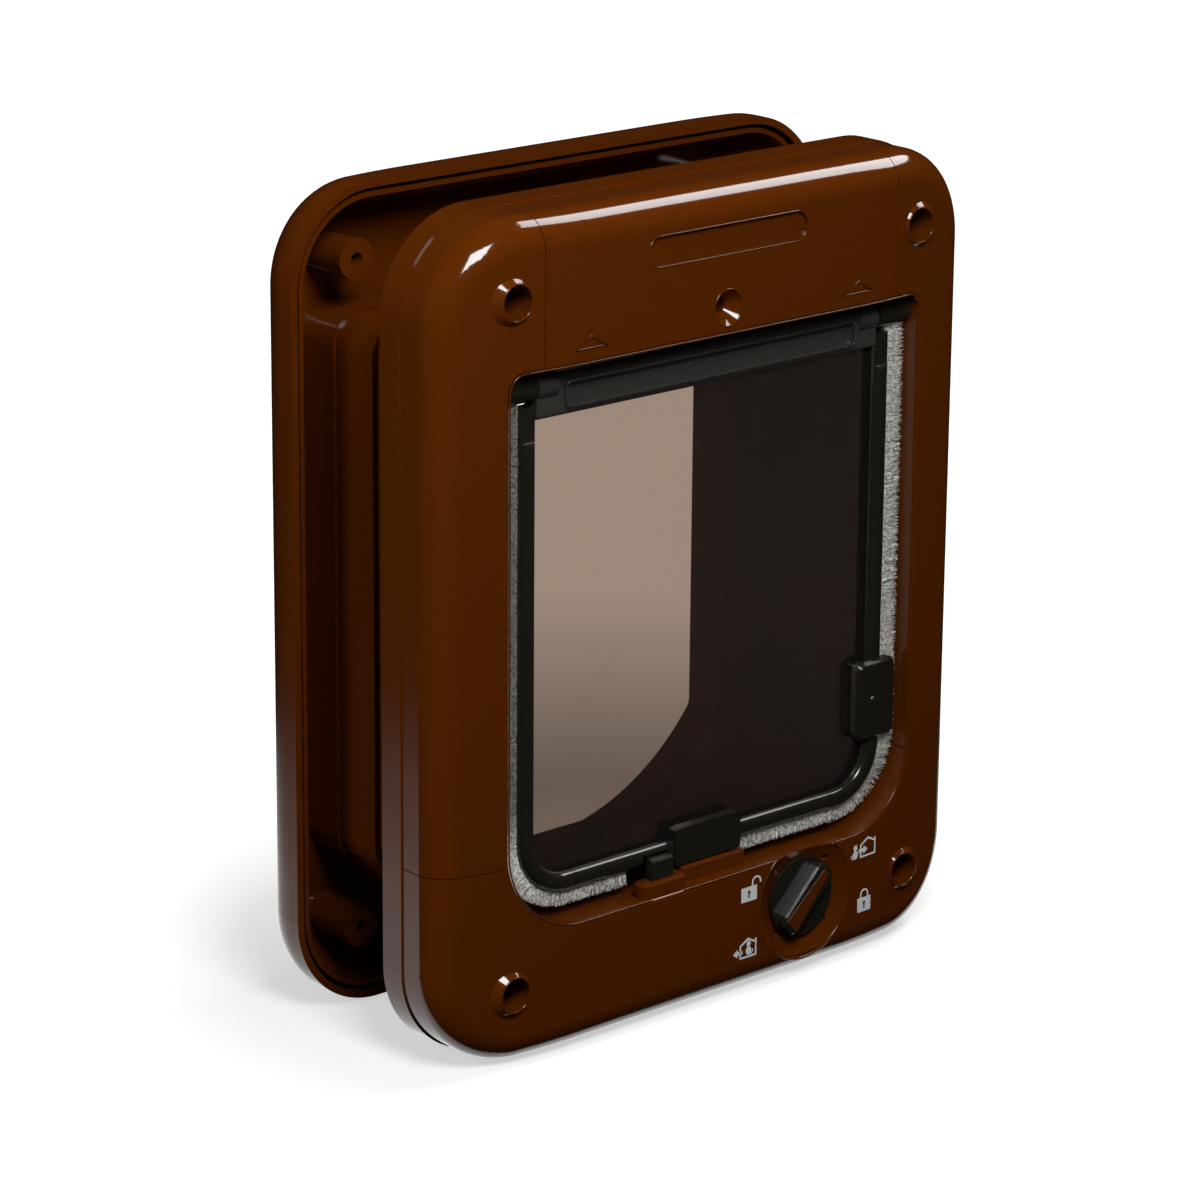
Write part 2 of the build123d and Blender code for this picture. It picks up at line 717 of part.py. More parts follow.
# Brush pile round the flap, parted where it turns the corners and where the bolts pass
with BuildPart() as brush_blank:
    with BuildSketch(door_plane(hinge_depth - brush_thickness / 2)):
        flap_outline(brush_gap - rim_gap, brush_top)
        with BuildSketch(mode=Mode.PRIVATE) as brush_inside:
            flap_outline(0, brush_top)
        add(brush_inside.sketch, mode=Mode.SUBTRACT)
    extrude(amount=-brush_thickness)
    add(side_pad.part, mode=Mode.SUBTRACT)

brush_corner = rim_foot + lower_radius - rim_gap
for name, left, right, foot, head in (
        ("left_brush", -opening_half, 0, brush_corner + brush_seam, brush_top),
        ("right_brush", 0, opening_half, brush_corner + brush_seam, brush_top),
        ("lower_left_brush", -opening_half, guide_pad_left - brush_gap, 0, brush_corner - brush_seam),
        ("lower_right_brush", keeper_pad_right + brush_gap, opening_half, 0, brush_corner - brush_seam)):
    with BuildPart() as brush:
        add(brush_blank.part)
        with BuildSketch(door_plane(0)):
            with Locations(((left + right) / 2, (foot + head) / 2)):
                Rectangle(right - left, head - foot)
        extrude(amount=-cover_depth, mode=Mode.INTERSECT)
    brush.part.label = name
    export_step(brush.part, f"parts/{name}.step")

# Bolts: each is a post that rises through the sill, on an arm that reaches over its cam
with BuildPart() as front_bolt:
    with BuildSketch(Plane.XY.offset(arm_foot)):
        with Locations((bolt_across, inward(front_bolt_face))):
            Rectangle(bolt_width, front_bolt_thickness, align=(Align.CENTER, Align.MIN))
    extrude(amount=bolt_top - arm_foot)
    chamfer(front_bolt.edges().group_by(Axis.Z)[-1].sort_by(Axis.Y)[0], front_bolt_thickness / 4)
    with BuildSketch(Plane.XY.offset(arm_foot)):
        with Locations((bolt_across, inward(front_bolt_face))):
            Rectangle(bolt_width, front_arm_face + arm_thickness - front_bolt_face,
                      align=(Align.CENTER, Align.MIN))
        with Locations((bolt_across - bolt_width / 2, inward(front_arm_face))):
            Rectangle(arm_end - bolt_across + bolt_width / 2, arm_thickness, align=(Align.MIN, Align.MIN))
    extrude(amount=arm_height)
front_bolt.part.label = "front_bolt"
export_step(front_bolt.part, "parts/front_bolt.step")

with BuildPart() as rear_bolt:
    with BuildSketch(Plane.XY.offset(arm_foot)):
        with Locations((bolt_across, inward(rear_bolt_face))):
            Rectangle(bolt_width, rear_bolt_thickness, align=(Align.CENTER, Align.MIN))
    extrude(amount=bolt_top - arm_foot)
    chamfer(rear_bolt.edges().group_by(Axis.Z)[-1].sort_by(Axis.Y)[-1], rear_bolt_thickness / 4)
    with BuildSketch(Plane.XY.offset(arm_foot)):
        with Locations((bolt_across - bolt_width / 2, inward(rear_arm_face))):
            Rectangle(arm_end - bolt_across + bolt_width / 2, arm_thickness, align=(Align.MIN, Align.MIN))
    extrude(amount=arm_height)
rear_bolt.part.label = "rear_bolt"
export_step(rear_bolt.part, "parts/rear_bolt.step")

# Knob: a disc that follows the dish, a grip across it with an inlaid pointer, and a shaft
with BuildPart() as lock_knob:
    with BuildSketch(door_plane(knob_face)):
        with Locations((knob_across, knob_height)):
            Circle(knob_radius)
    extrude(amount=knob_face - dish_boss_depth)
    with Locations((knob_across, inward(dish_centre), knob_height)):
        Sphere(dish_sphere - knob_gap, mode=Mode.INTERSECT)
    with BuildSketch(grip_plane):
        RectangleRounded(grip_length, grip_width, grip_corner)
    extrude(amount=-grip_proud - knob_face)
    chamfer(lock_knob.edges().group_by(Axis.Y)[0], grip_bevel)
    with BuildSketch(grip_plane):
        with BuildLine():
            Polyline((pointer_start, -pointer_wide / 2), (pointer_end, -pointer_narrow / 2),
                     (pointer_end, pointer_narrow / 2), (pointer_start, pointer_wide / 2), close=True)
        make_face()
    extrude(amount=-pointer_pocket, mode=Mode.SUBTRACT)
    with BuildSketch(door_plane(shaft_start)):
        with Locations((knob_across, knob_height)):
            Circle(shaft_radius)
    extrude(amount=shaft_start - cam_back)
    with BuildSketch(door_plane(cam_back - cam_screw_length)):
        with Locations((knob_across, knob_height)):
            Circle(cam_screw_shank)
    extrude(amount=-cam_screw_length, mode=Mode.SUBTRACT)
lock_knob.part.label = "lock_knob"
export_step(lock_knob.part, "parts/lock_knob.step")

with BuildPart() as knob_pointer:
    with BuildSketch(grip_plane.offset(pointer_proud)):
        with BuildLine():
            Polyline((pointer_start, -pointer_wide / 2), (pointer_end, -pointer_narrow / 2),
                     (pointer_end, pointer_narrow / 2), (pointer_start, pointer_wide / 2), close=True)
        make_face()
    extrude(amount=-pointer_pocket - pointer_proud)
knob_pointer.part.label = "knob_pointer"
export_step(knob_pointer.part, "parts/knob_pointer.step")

# Cam on the knob's shaft: one nose a quarter turn ahead of the other, one for each bolt
with BuildPart() as lock_cam:
    for depth, first in ((cam_front, knob_angle + 135), (cam_front + cam_thickness / 2, knob_angle + 45)):
        with BuildSketch(door_plane(depth)):
            with Locations((knob_across, knob_height)):
                Circle(cam_hub)
                with PolarLocations(cam_nose_reach, 2, start_angle=first, angular_range=90, endpoint=True):
                    Circle(cam_nose)
            make_hull()
        extrude(amount=-cam_thickness / 2)
    with BuildSketch(door_plane(cam_hub_front)):
        with Locations((knob_across, knob_height)):
            Circle(cam_hub)
    extrude(amount=cam_hub_front - cam_front)
    with BuildSketch(door_plane(cam_hub_front)):
        with Locations((knob_across, knob_height)):
            Circle(shaft_radius)
    extrude(amount=cam_hub_front - cam_back, mode=Mode.SUBTRACT)
lock_cam.part.label = "lock_cam"
export_step(lock_cam.part, "parts/lock_cam.step")

with BuildPart() as cam_screw:
    with BuildSketch(door_plane(cam_back)):
        with Locations((knob_across, knob_height)):
            Circle(cam_screw_head)
    extrude(amount=-cam_screw_head_depth)
    chamfer(cam_screw.edges().group_by(Axis.Y)[-1], cam_screw_bevel)
    with BuildSketch(door_plane(cam_back - cam_screw_length)):
        with Locations((knob_across, knob_height)):
            Circle(cam_screw_shank)
    extrude(amount=-cam_screw_length)
cam_screw.part.label = "cam_screw"
export_step(cam_screw.part, "parts/cam_screw.step")
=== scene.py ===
"""Cat flap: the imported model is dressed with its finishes, its brush pile and its printed signs."""

import json
import math
import random

import bpy
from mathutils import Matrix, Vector


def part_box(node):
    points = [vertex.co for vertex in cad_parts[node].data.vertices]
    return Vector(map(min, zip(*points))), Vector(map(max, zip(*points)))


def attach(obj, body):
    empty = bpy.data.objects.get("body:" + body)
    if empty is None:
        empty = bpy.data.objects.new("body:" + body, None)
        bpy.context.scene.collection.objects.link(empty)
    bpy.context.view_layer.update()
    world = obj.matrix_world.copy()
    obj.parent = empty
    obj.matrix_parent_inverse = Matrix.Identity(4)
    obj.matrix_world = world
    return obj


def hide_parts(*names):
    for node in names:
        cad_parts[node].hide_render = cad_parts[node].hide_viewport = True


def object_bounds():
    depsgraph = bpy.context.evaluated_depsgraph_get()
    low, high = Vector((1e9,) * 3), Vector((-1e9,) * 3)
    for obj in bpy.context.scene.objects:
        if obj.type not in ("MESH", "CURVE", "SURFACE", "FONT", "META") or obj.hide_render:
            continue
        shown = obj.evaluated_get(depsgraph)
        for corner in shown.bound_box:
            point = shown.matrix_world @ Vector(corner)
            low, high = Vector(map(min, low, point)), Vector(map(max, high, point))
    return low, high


bl_info = {
    "name": "Cat flap",
    "version": (1, 0, 0),
    "blender": (4, 5, 0),
    "location": "3D View > Sidebar > Cat flap",
    "description": "Finishes, brush pile, printed signs and stage for a lockable cat flap",
    "category": "Object",
}

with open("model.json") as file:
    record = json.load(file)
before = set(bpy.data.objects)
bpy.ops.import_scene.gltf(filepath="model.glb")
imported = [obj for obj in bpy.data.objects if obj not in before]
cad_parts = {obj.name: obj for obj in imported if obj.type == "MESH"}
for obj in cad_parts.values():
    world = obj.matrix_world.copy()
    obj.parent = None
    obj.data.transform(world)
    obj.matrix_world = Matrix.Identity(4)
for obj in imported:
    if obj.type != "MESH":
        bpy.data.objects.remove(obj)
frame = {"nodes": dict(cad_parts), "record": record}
nodes = frame["nodes"]
cad_box = [list(corner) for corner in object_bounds()]

MM = 0.001

# The knob's pointer reaches farthest forward, and the model's middle lies in the plane Y = 0
POINTER_PROUD = 1.8 * MM
MIDDLE_DEPTH = -cad_box[0][1] - POINTER_PROUD

# The front face is flat across its middle and falls away in an arc towards its sides
CROWN_FLAT = 50.0 * MM
CROWN_RADIUS = 178.0 * MM


def depth(value):
    """Y of a depth behind the front face."""
    return value - MIDDLE_DEPTH


def crown(across):
    """How far the front face has fallen back at a place across it."""
    beyond = max(0.0, abs(across) - CROWN_FLAT)
    return CROWN_RADIUS - math.sqrt(CROWN_RADIUS ** 2 - beyond ** 2)


# Sizes and colours that a user would change


class CatFlapFinishes(bpy.types.PropertyGroup):
    """Colours and surface qualities of the mouldings."""

    brown: bpy.props.FloatVectorProperty(
        name="Brown plastic", description="Colour of the frames", subtype="COLOR",
        default=(0.086, 0.0180, 0.0010), min=0.0, max=1.0)
    brown_roughness: bpy.props.FloatProperty(
        name="Brown roughness", description="How blurred the frames' gloss is",
        default=0.09, min=0.0, max=1.0)
    black: bpy.props.FloatVectorProperty(
        name="Black plastic", description="Colour of the rim, bolts and knob", subtype="COLOR",
        default=(0.0140, 0.0120, 0.0082), min=0.0, max=1.0)
    # The bar's black is paler than the rest, a painted sheen for the pale gloss the bar shows
    bar_black_painted_sheen: bpy.props.FloatVectorProperty(
        name="Bar plastic", description="Colour of the bar that the flap hangs from",
        subtype="COLOR", default=(0.036, 0.034, 0.030), min=0.0, max=1.0)
    smoke: bpy.props.FloatVectorProperty(
        name="Pane tint", description="What the pane lets through", subtype="COLOR",
        default=(0.345, 0.256, 0.200), min=0.0, max=1.0)
    pile: bpy.props.FloatVectorProperty(
        name="Brush pile", description="Colour of the fibres", subtype="COLOR",
        default=(0.98, 0.91, 0.81), min=0.0, max=1.0)
    print_white: bpy.props.FloatVectorProperty(
        name="Print", description="Colour of the printed signs", subtype="COLOR",
        default=(0.68, 0.69, 0.70), min=0.0, max=1.0)


class CatFlapBrush(bpy.types.PropertyGroup):
    """Sizes of the brush pile."""

    spacing: bpy.props.FloatProperty(
        name="Spacing", description="Distance between fibres along the rim",
        default=0.30 * MM, min=0.1 * MM, unit="LENGTH")
    thickness: bpy.props.FloatProperty(
        name="Fibre", description="Thickness of one fibre", default=0.22 * MM, unit="LENGTH")
    rows: bpy.props.IntProperty(
        name="Rows", description="Rows of fibres across the pile", default=10, min=1, max=14)
    spread: bpy.props.FloatProperty(
        name="Spread", description="How far the tips splay apart", default=1.5 * MM,
        unit="LENGTH")
    sill_share: bpy.props.FloatProperty(
        name="Sill length", description="Length of the fibres above the sill, as a share of the "
        "others' length", default=0.66, min=0.1, max=1.0)


class CatFlapSigns(bpy.types.PropertyGroup):
    """Places and line width of the four signs round the knob."""

    open_lock: bpy.props.FloatVectorProperty(
        name="Open lock", description="Lower left corner of the open padlock, across and up",
        size=2, default=(8.6 * MM, 28.0 * MM), unit="LENGTH")
    closed_lock: bpy.props.FloatVectorProperty(
        name="Closed lock", description="Lower left corner of the closed padlock, across and up",
        size=2, default=(55.6 * MM, 13.2 * MM), unit="LENGTH")
    way_in: bpy.props.FloatVectorProperty(
        name="Way in", description="Lower left corner of the house that the cat may enter",
        size=2, default=(56.2 * MM, 30.2 * MM), unit="LENGTH")
    way_out: bpy.props.FloatVectorProperty(
        name="Way out", description="Lower left corner of the house that the cat may leave",
        size=2, default=(8.3 * MM, 10.9 * MM), unit="LENGTH")
    line: bpy.props.FloatProperty(
        name="Line", description="Width of the drawn lines", default=0.55 * MM, unit="LENGTH")
    film: bpy.props.FloatProperty(
        name="Film", description="Thickness of the print", default=0.06 * MM, unit="LENGTH")


class CatFlapLips(bpy.types.PropertyGroup):
    """Size of the rounded edges."""

    radius: bpy.props.FloatProperty(
        name="Edge radius", description="Radius of the moulded edges", default=0.24 * MM,
        unit="LENGTH")


class CatFlapStage(bpy.types.PropertyGroup):
    """The camera's lens and the lights' levels."""

    lens: bpy.props.FloatProperty(
        name="Lens", description="Focal length on a 36 mm sensor, in millimetres", default=131.52)
    key_power: bpy.props.FloatProperty(
        name="Key light", description="Power of the soft light on the left, in watts", default=4.5)
    top_power: bpy.props.FloatProperty(
        name="Top light", description="Power of the large soft light on the right, in watts",
        default=7.6)
    side_power: bpy.props.FloatProperty(
        name="Side light", description="Power of the tall soft light far on the left, in watts",
        default=5.0)
    sky: bpy.props.FloatProperty(
        name="Sky", description="Strength of the even light from all round", default=0.07)


# Helpers shared by the pieces


def deselect():
    """Clears the selection, so that an operator acts only on what it adds."""
    bpy.ops.object.select_all(action="DESELECT")


def pick(*objects):
    """Selects only these objects and makes the first one active."""
    deselect()
    for obj in objects:
        obj.select_set(True)
    bpy.context.view_layer.objects.active = objects[0]


def finish_piece(obj, name, material, body):
    """Names a piece, bakes its place into its mesh and fastens it to its body."""
    obj.name = name
    obj.data.name = name
    pick(obj)
    bpy.ops.object.transform_apply(location=True, rotation=True, scale=True)
    obj.data.materials.clear()
    obj.data.materials.append(material)
    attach(obj, body)


class NodeTree:
    """A short way to add and join shader nodes. A value is a number or another node's output."""

    def __init__(self, tree):
        self.nodes = tree.nodes
        self.links = tree.links

    def add(self, kind, **values):
        """Adds a node and sets its attributes, or its sockets by name."""
        node = self.nodes.new(kind)
        for key, value in values.items():
            if hasattr(node, key):
                setattr(node, key, value)
            else:
                node.inputs[key.replace("_", " ")].default_value = value
        return node

    def join(self, start, end):
        """Joins an output to an input."""
        self.links.new(start, end)

    def feed(self, sockets, values):
        """Sets or joins each socket to its value."""
        for socket, value in zip(sockets, values):
            if isinstance(value, bpy.types.NodeSocket):
                self.join(value, socket)
            else:
                socket.default_value = value

    def maths(self, operation, first, second):
        """The result of a Math node over two values."""
        node = self.add("ShaderNodeMath", operation=operation)
        self.feed(node.inputs, (first, second))
        return node.outputs["Value"]

    def blend(self, share, first, second):
        """The result of a Mix node between two values."""
        node = self.add("ShaderNodeMix", data_type="FLOAT")
        self.feed([node.inputs[name] for name in ("Factor", "A", "B")], (share, first, second))
        return node.outputs["Result"]

    def layer(self, share, first, second):
        """The result of a Mix Shader node between two shaders."""
        node = self.add("ShaderNodeMixShader")
        self.feed(node.inputs, (share, first, second))
        return node.outputs["Shader"]

    def mapped(self, value, source, target=(0.0, 1.0)):
        """A value brought from one range into another."""
        node = self.add("ShaderNodeMapRange", From_Min=source[0], From_Max=source[1],
                        To_Min=target[0], To_Max=target[1])
        self.join(value, node.inputs["Value"])
        return node.outputs["Result"]

    def place(self):
        """The place on the object, in the object's own coordinates."""
        return self.add("ShaderNodeTexCoord").outputs["Object"]

    def noise(self, scale, detail=2.0):
        """A noise over the object."""
        node = self.add("ShaderNodeTexNoise", Scale=scale, Detail=detail)
        self.join(self.place(), node.inputs["Vector"])
        return node.outputs["Fac"]

    def ramp(self, value, *stops):
        """A value turned into a colour between two stops, each a position and a colour."""
        node = self.add("ShaderNodeValToRGB")
        for index, (position, colour) in enumerate(stops):
            node.color_ramp.elements[index].position = position
            node.color_ramp.elements[index].color = (*colour, 1.0)
        self.join(value, node.inputs["Fac"])
        return node.outputs["Color"]

    def relief(self, shader, height, strength, distance):
        """Gives a shader a relief of this height."""
        bump = self.add("ShaderNodeBump", Strength=strength, Distance=distance)
        self.join(height, bump.inputs["Height"])
        self.join(bump.outputs["Normal"], shader.inputs["Normal"])


def new_material(name, **values):
    """A material, its node tree, and its Principled shader with these sockets set."""
    material = bpy.data.materials.new(name)
    material.use_nodes = True
    shader = material.node_tree.nodes["Principled BSDF"]
    for key, value in values.items():
        shader.inputs[key.replace("_", " ")].default_value = value
    return material, NodeTree(material.node_tree), shader


def tinted(colour, share):
    """A colour with its channels times a share, and no channel past full."""
    return [min(1.0, channel * share) for channel in colour]


# Finishes

PLASTIC_IOR = 1.5
BROWN_VARIATION = 0.07

# The part of the noise that counts, and the roughness that it turns into
SATIN_NOISE = (0.3, 0.7)
SATIN_ROUGHNESS = (0.14, 0.22)

PANE_IOR = 1.3
PANE_ROUGHNESS = 0.02
# A thin grey diffuse layer on the pane, a painted reflection of grey surroundings
PAINTED_REFLECTION_SHARE = 0.012
PAINTED_REFLECTION_COLOUR = (0.45, 0.47, 0.45, 1.0)
FIBRE_ROUGHNESS = 0.45
FIBRE_SHEEN = 0.4

# For dark and light fibres: their place in the noise, and their share of the pile's colour
DARK_FIBRE = (0.40, 0.30)
LIGHT_FIBRE = (0.54, 1.15)

# Painted shade on the left brush, where the frame's left wall shades the pile, grows between the
# first and the second place, across and up
PAINTED_SHADE_ACROSS = (-66.5 * MM, -68.9 * MM)
PAINTED_SHADE_UP = (58.0 * MM, 72.0 * MM)
PAINTED_SHADE_RANGE = (0.0, 0.95)
PAINTED_SHADE_TINT = (0.22, 0.215, 0.20, 1.0)

PRINT_ROUGHNESS = 0.4
FINE_RELIEF = 0.1 * MM
WAVE_RELIEF = 2.0 * MM


def brown_plastic(settings):
    """Gloss brown moulding plastic, with a faint waviness and a fine unevenness of colour."""
    material, tree, shader = new_material(
        "gloss_brown_plastic", Roughness=settings.brown_roughness, IOR=PLASTIC_IOR)
    tree.relief(shader, tree.noise(scale=30.0), strength=0.035, distance=WAVE_RELIEF)
    shade = tree.ramp(tree.noise(scale=700.0, detail=3.0),
                      (0.0, tinted(settings.brown, 1 - BROWN_VARIATION)),
                      (1.0, tinted(settings.brown, 1 + BROWN_VARIATION)))
    tree.join(shade, shader.inputs["Base Color"])
    return material


def satin_plastic(name, colour):
    """Satin moulding plastic with a fine spark texture."""
    material, tree, shader = new_material(name, Base_Color=(*colour, 1.0), IOR=PLASTIC_IOR)
    noise = tree.noise(scale=1400.0, detail=3.0)
    tree.relief(shader, noise, strength=0.03, distance=FINE_RELIEF)
    tree.join(tree.mapped(noise, SATIN_NOISE, SATIN_ROUGHNESS), shader.inputs["Roughness"])
    return material


def black_plastic(settings):
    """Satin black plastic of the rim, the bolts, the knob and the hinge caps."""
    return satin_plastic("satin_black_plastic", settings.black)


def bar_plastic(settings):
    """Satin black plastic of the hinge bar, a little paler: a painted sheen for the pale gloss it
    shows.
    """
    return satin_plastic("satin_bar_plastic", settings.bar_black_painted_sheen)


def smoked_pane(settings):
    """Clear sheet with a light brown smoke, a faint waviness and a grey painted reflection."""
    material, tree, shader = new_material(
        "smoked_clear_plastic", Base_Color=(*settings.smoke, 1.0), Roughness=PANE_ROUGHNESS,
        IOR=PANE_IOR, Transmission_Weight=1.0)
    tree.relief(shader, tree.noise(scale=12.0), strength=0.02, distance=WAVE_RELIEF)
    painted_reflection = tree.add("ShaderNodeBsdfDiffuse", Color=PAINTED_REFLECTION_COLOUR)
    # Painted reflection: a thin grey diffuse layer mixed into the pane
    surface = tree.layer(PAINTED_REFLECTION_SHARE, shader.outputs["BSDF"], painted_reflection.outputs["BSDF"])
    tree.join(surface, tree.nodes["Material Output"].inputs["Surface"])
    return material


def pile_fibre(settings):
    """Pale brush fibre, lighter and darker from one fibre to the next, with painted shade on the left
    brush.
    """
    material, tree, shader = new_material(
        "brush_fibre", Roughness=FIBRE_ROUGHNESS, Sheen_Weight=FIBRE_SHEEN)
    shade = tree.ramp(tree.noise(scale=1100.0),
                      *((position, tinted(settings.pile, share))
                        for position, share in (DARK_FIBRE, LIGHT_FIBRE)))
    parts = tree.add("ShaderNodeSeparateXYZ")
    tree.join(tree.place(), parts.inputs["Vector"])
    # Painted shade: the left brush's pile darkens towards the tint by its place across and up
    left = tree.mapped(parts.outputs["X"], PAINTED_SHADE_ACROSS)
    above = tree.mapped(parts.outputs["Z"], PAINTED_SHADE_UP, PAINTED_SHADE_RANGE)
    painted_shade = tree.add("ShaderNodeMixRGB", blend_type="MULTIPLY")
    tree.feed(painted_shade.inputs, (tree.maths("MULTIPLY", left, above), shade, PAINTED_SHADE_TINT))
    tree.join(painted_shade.outputs["Color"], shader.inputs["Base Color"])
    return material


def metal(name, colour, roughness):
    """Plain metal with a fine grain."""
    material, tree, shader = new_material(
        name, Base_Color=(*colour, 1.0), Metallic=1.0, Roughness=roughness)
    tree.relief(shader, tree.noise(scale=2200.0), strength=0.1, distance=FINE_RELIEF)
    return material


def steel(_settings):
    """Plain bright steel of the magnets, the pins and the cam's screw."""
    return metal("plain_steel", colour=(0.56, 0.55, 0.53), roughness=0.3)


def brass(_settings):
    """Warm yellow metal of the rivet in the flap's side pad."""
    return metal("rivet_brass", colour=(0.62, 0.44, 0.20), roughness=0.35)


def print_white(settings):
    """White printing ink, a little uneven."""
    material, tree, shader = new_material(
        "white_print", Base_Color=(*settings.print_white, 1.0), Roughness=PRINT_ROUGHNESS)
    tree.relief(shader, tree.noise(scale=3000.0), strength=0.1, distance=FINE_RELIEF)
    return material


FINISH_OF_SLOT = {
    "brown_plastic": brown_plastic,
    "black_plastic": black_plastic,
    "smoked_pane": smoked_pane,
    "magnet_steel": steel,
    "pin_steel": steel,
}
finishes = {}


def finish(maker):
    """The material that a maker makes, made once."""
    if maker.__name__ not in finishes:
        finishes[maker.__name__] = maker(bpy.context.scene.cat_flap_finishes)
    return finishes[maker.__name__]


class CATFLAP_OT_finishes(bpy.types.Operator):
    """Give every moulded, clear and metal piece its finish"""

    bl_idname = "cat_flap.finishes"
    bl_label = "Finish the mouldings"

    def execute(self, context):
        for part in frame["record"]["subparts"]:
            maker = FINISH_OF_SLOT.get(part["material_slot"])
            if maker is None:
                continue
            # The hinge bar gets the paler black, a painted sheen
            if part["node"] == "hinge_bar":
                maker = bar_plastic
            node = nodes[part["node"]]
            node.data.materials.clear()
            node.data.materials.append(finish(maker))
        return {"FINISHED"}


# Brush pile

BRUSHES = ("left_brush", "right_brush", "lower_left_brush", "lower_right_brush")
BRUSH_SEED = 11
BRUSH_SEAM = 0.15 * MM
ROOT_LIFT = 0.2 * MM
TOP_RISE = 1.6 * MM

# In shares of the brush's depth: how deep the roots stand, and how far the tips fan out
ROOT_SHARE = 0.8
FAN_SHARE = 0.2

# In shares of the full length and the full spread
LENGTH_SHARES = (0.88, 0.99)
LEAN_THROUGH = 0.8

# The pad on the right rim, which the fibres stand beside
PAD_FOOT = 63.5 * MM
PAD_HEAD = 87.5 * MM
PAD_WIDTH = 15.5 * MM


def fibre_mesh(roots, tips, thickness):
    """Points and faces of tapered three-sided fibres that run from their roots to their tips."""
    points = []
    faces = []
    for root, tip in zip(roots, tips):
        along = (tip - root).normalized()
        across = along.orthogonal().normalized()
        other = along.cross(across)
        first = len(points)
        for centre, radius in ((root, thickness / 2), (tip, thickness / 4)):
            for corner in range(3):
                turn = math.tau * corner / 3
                points.append(centre + radius * (math.cos(turn) * across + math.sin(turn) * other))
        for corner in range(3):
            after = (corner + 1) % 3
            faces.append((first + corner, first + after, first + 3 + after, first + 3 + corner))
        faces.append((first + 3, first + 4, first + 5))
        faces.append((first + 2, first + 1, first))
    return points, faces


def rim_path(half, foot, corner, head):
    """A function that gives the point and the outward direction at a length along the flap's
    hoop, and the hoop's whole length."""
    side_length = head - foot - corner
    turn_length = corner * math.pi / 2
    floor_length = 2 * (half - corner)

    def at(length):
        if length < side_length:
            return Vector((-half, 0, head - length)), Vector((-1, 0, 0))
        length -= side_length
        if length < turn_length:
            angle = math.pi + length / corner
            out = Vector((math.cos(angle), 0, math.sin(angle)))
            return Vector((corner - half, 0, foot + corner)) + corner * out, out
        length -= turn_length
        if length < floor_length:
            return Vector((corner - half + length, 0, foot)), Vector((0, 0, -1))
        length -= floor_length
        if length < turn_length:
            angle = 1.5 * math.pi + length / corner
            out = Vector((math.cos(angle), 0, math.sin(angle)))
            return Vector((half - corner, 0, foot + corner)) + corner * out, out
        length -= turn_length
        return Vector((half, 0, foot + corner + length)), Vector((1, 0, 0))

    total = 2 * side_length + 2 * turn_length + floor_length
    return at, total


class BrushHoop:
    """The hoop that the fibres grow from, measured on the solid brushes."""

    def __init__(self, sizes):
        low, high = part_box("left_brush")
        self.sizes = sizes
        self.draw = random.Random(BRUSH_SEED)
        self.reach = high[0] - low[0]
        self.middle = (low[1] + high[1]) / 2
        self.across = high[1] - low[1]
        self.head = high[2]
        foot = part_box("lower_left_brush")[0][2] + self.reach
        corner = low[2] - BRUSH_SEAM - foot
        at, total = rim_path(-high[0], foot, corner, self.head + TOP_RISE)
        steps = int(total / sizes.spacing)
        self.places = [at(total * step / steps) for step in range(steps)]
        self.pad_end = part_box("right_rim")[1][0]

    def padded(self, place):
        """Whether a place lies on the pad of the right rim, where fibres grow from its end."""
        return (self.pad_end - PAD_WIDTH < place.x < self.pad_end
                and PAD_FOOT < place.z < PAD_HEAD)

    def tip(self, point, out, root, share, length):
        """A fibre's tip, splayed a little and, near the top, raised a little."""
        end = point + out * length * self.draw.uniform(*LENGTH_SHARES)
        tip = Vector((end.x, root.y + share * self.across * FAN_SHARE, end.z))
        lean = Vector((self.draw.uniform(-1, 1), self.draw.uniform(-LEAN_THROUGH, LEAN_THROUGH),
                       self.draw.uniform(-1, 1)))
        tip = tip + (lean - out * lean.dot(out)) * self.sizes.spread
        tip.z += max(0.0, TOP_RISE - (self.head - root.z)) * self.draw.uniform(0.0, 1.0)
        return tip

    def fibres(self, low, high):
        """Roots and tips of the fibres that stand inside one brush's box."""
        roots = []
        tips = []
        for point, out in self.places:
            sample = point + out * self.reach * 0.5
            if not (low[0] <= sample.x <= high[0] and low[2] <= sample.z <= high[2]):
                continue
            down = max(0.0, -out.z)
            length = self.reach * (1 - down * (1 - self.sizes.sill_share))
            for row in range(self.sizes.rows):
                share = (row + 0.5) / self.sizes.rows - 0.5
                through = self.middle + share * self.across * ROOT_SHARE
                root = point + out * ROOT_LIFT + Vector((0, through, 0))
                if self.padded(sample):
                    root.x = self.pad_end
                tip = self.tip(point, out, root, share, length)
                roots.append(root)
                tips.append(Vector([min(max(place, least), most)
                                    for place, least, most in zip(tip, low, high)]))
        return roots, tips


class CATFLAP_OT_brushes(bpy.types.Operator):
    """Grow the draught brush's fibres out of the flap's rim"""

    bl_idname = "cat_flap.brushes"
    bl_label = "Grow the brush pile"

    def execute(self, context):
        sizes = context.scene.cat_flap_brush
        hoop = BrushHoop(sizes)
        for name in BRUSHES:
            low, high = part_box(name)
            if high[2] == hoop.head:
                high = Vector((high[0], high[1], hoop.head + TOP_RISE))
            points, faces = fibre_mesh(*hoop.fibres(low, high), sizes.thickness)
            mesh = bpy.data.meshes.new(name + "_pile")
            mesh.from_pydata(points, [], faces)
            pile = bpy.data.objects.new(name + "_pile", mesh)
            context.scene.collection.objects.link(pile)
            finish_piece(pile, name + "_pile", finish(pile_fibre), "flap")
            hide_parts(name)
        return {"FINISHED"}


# Printed signs round the knob

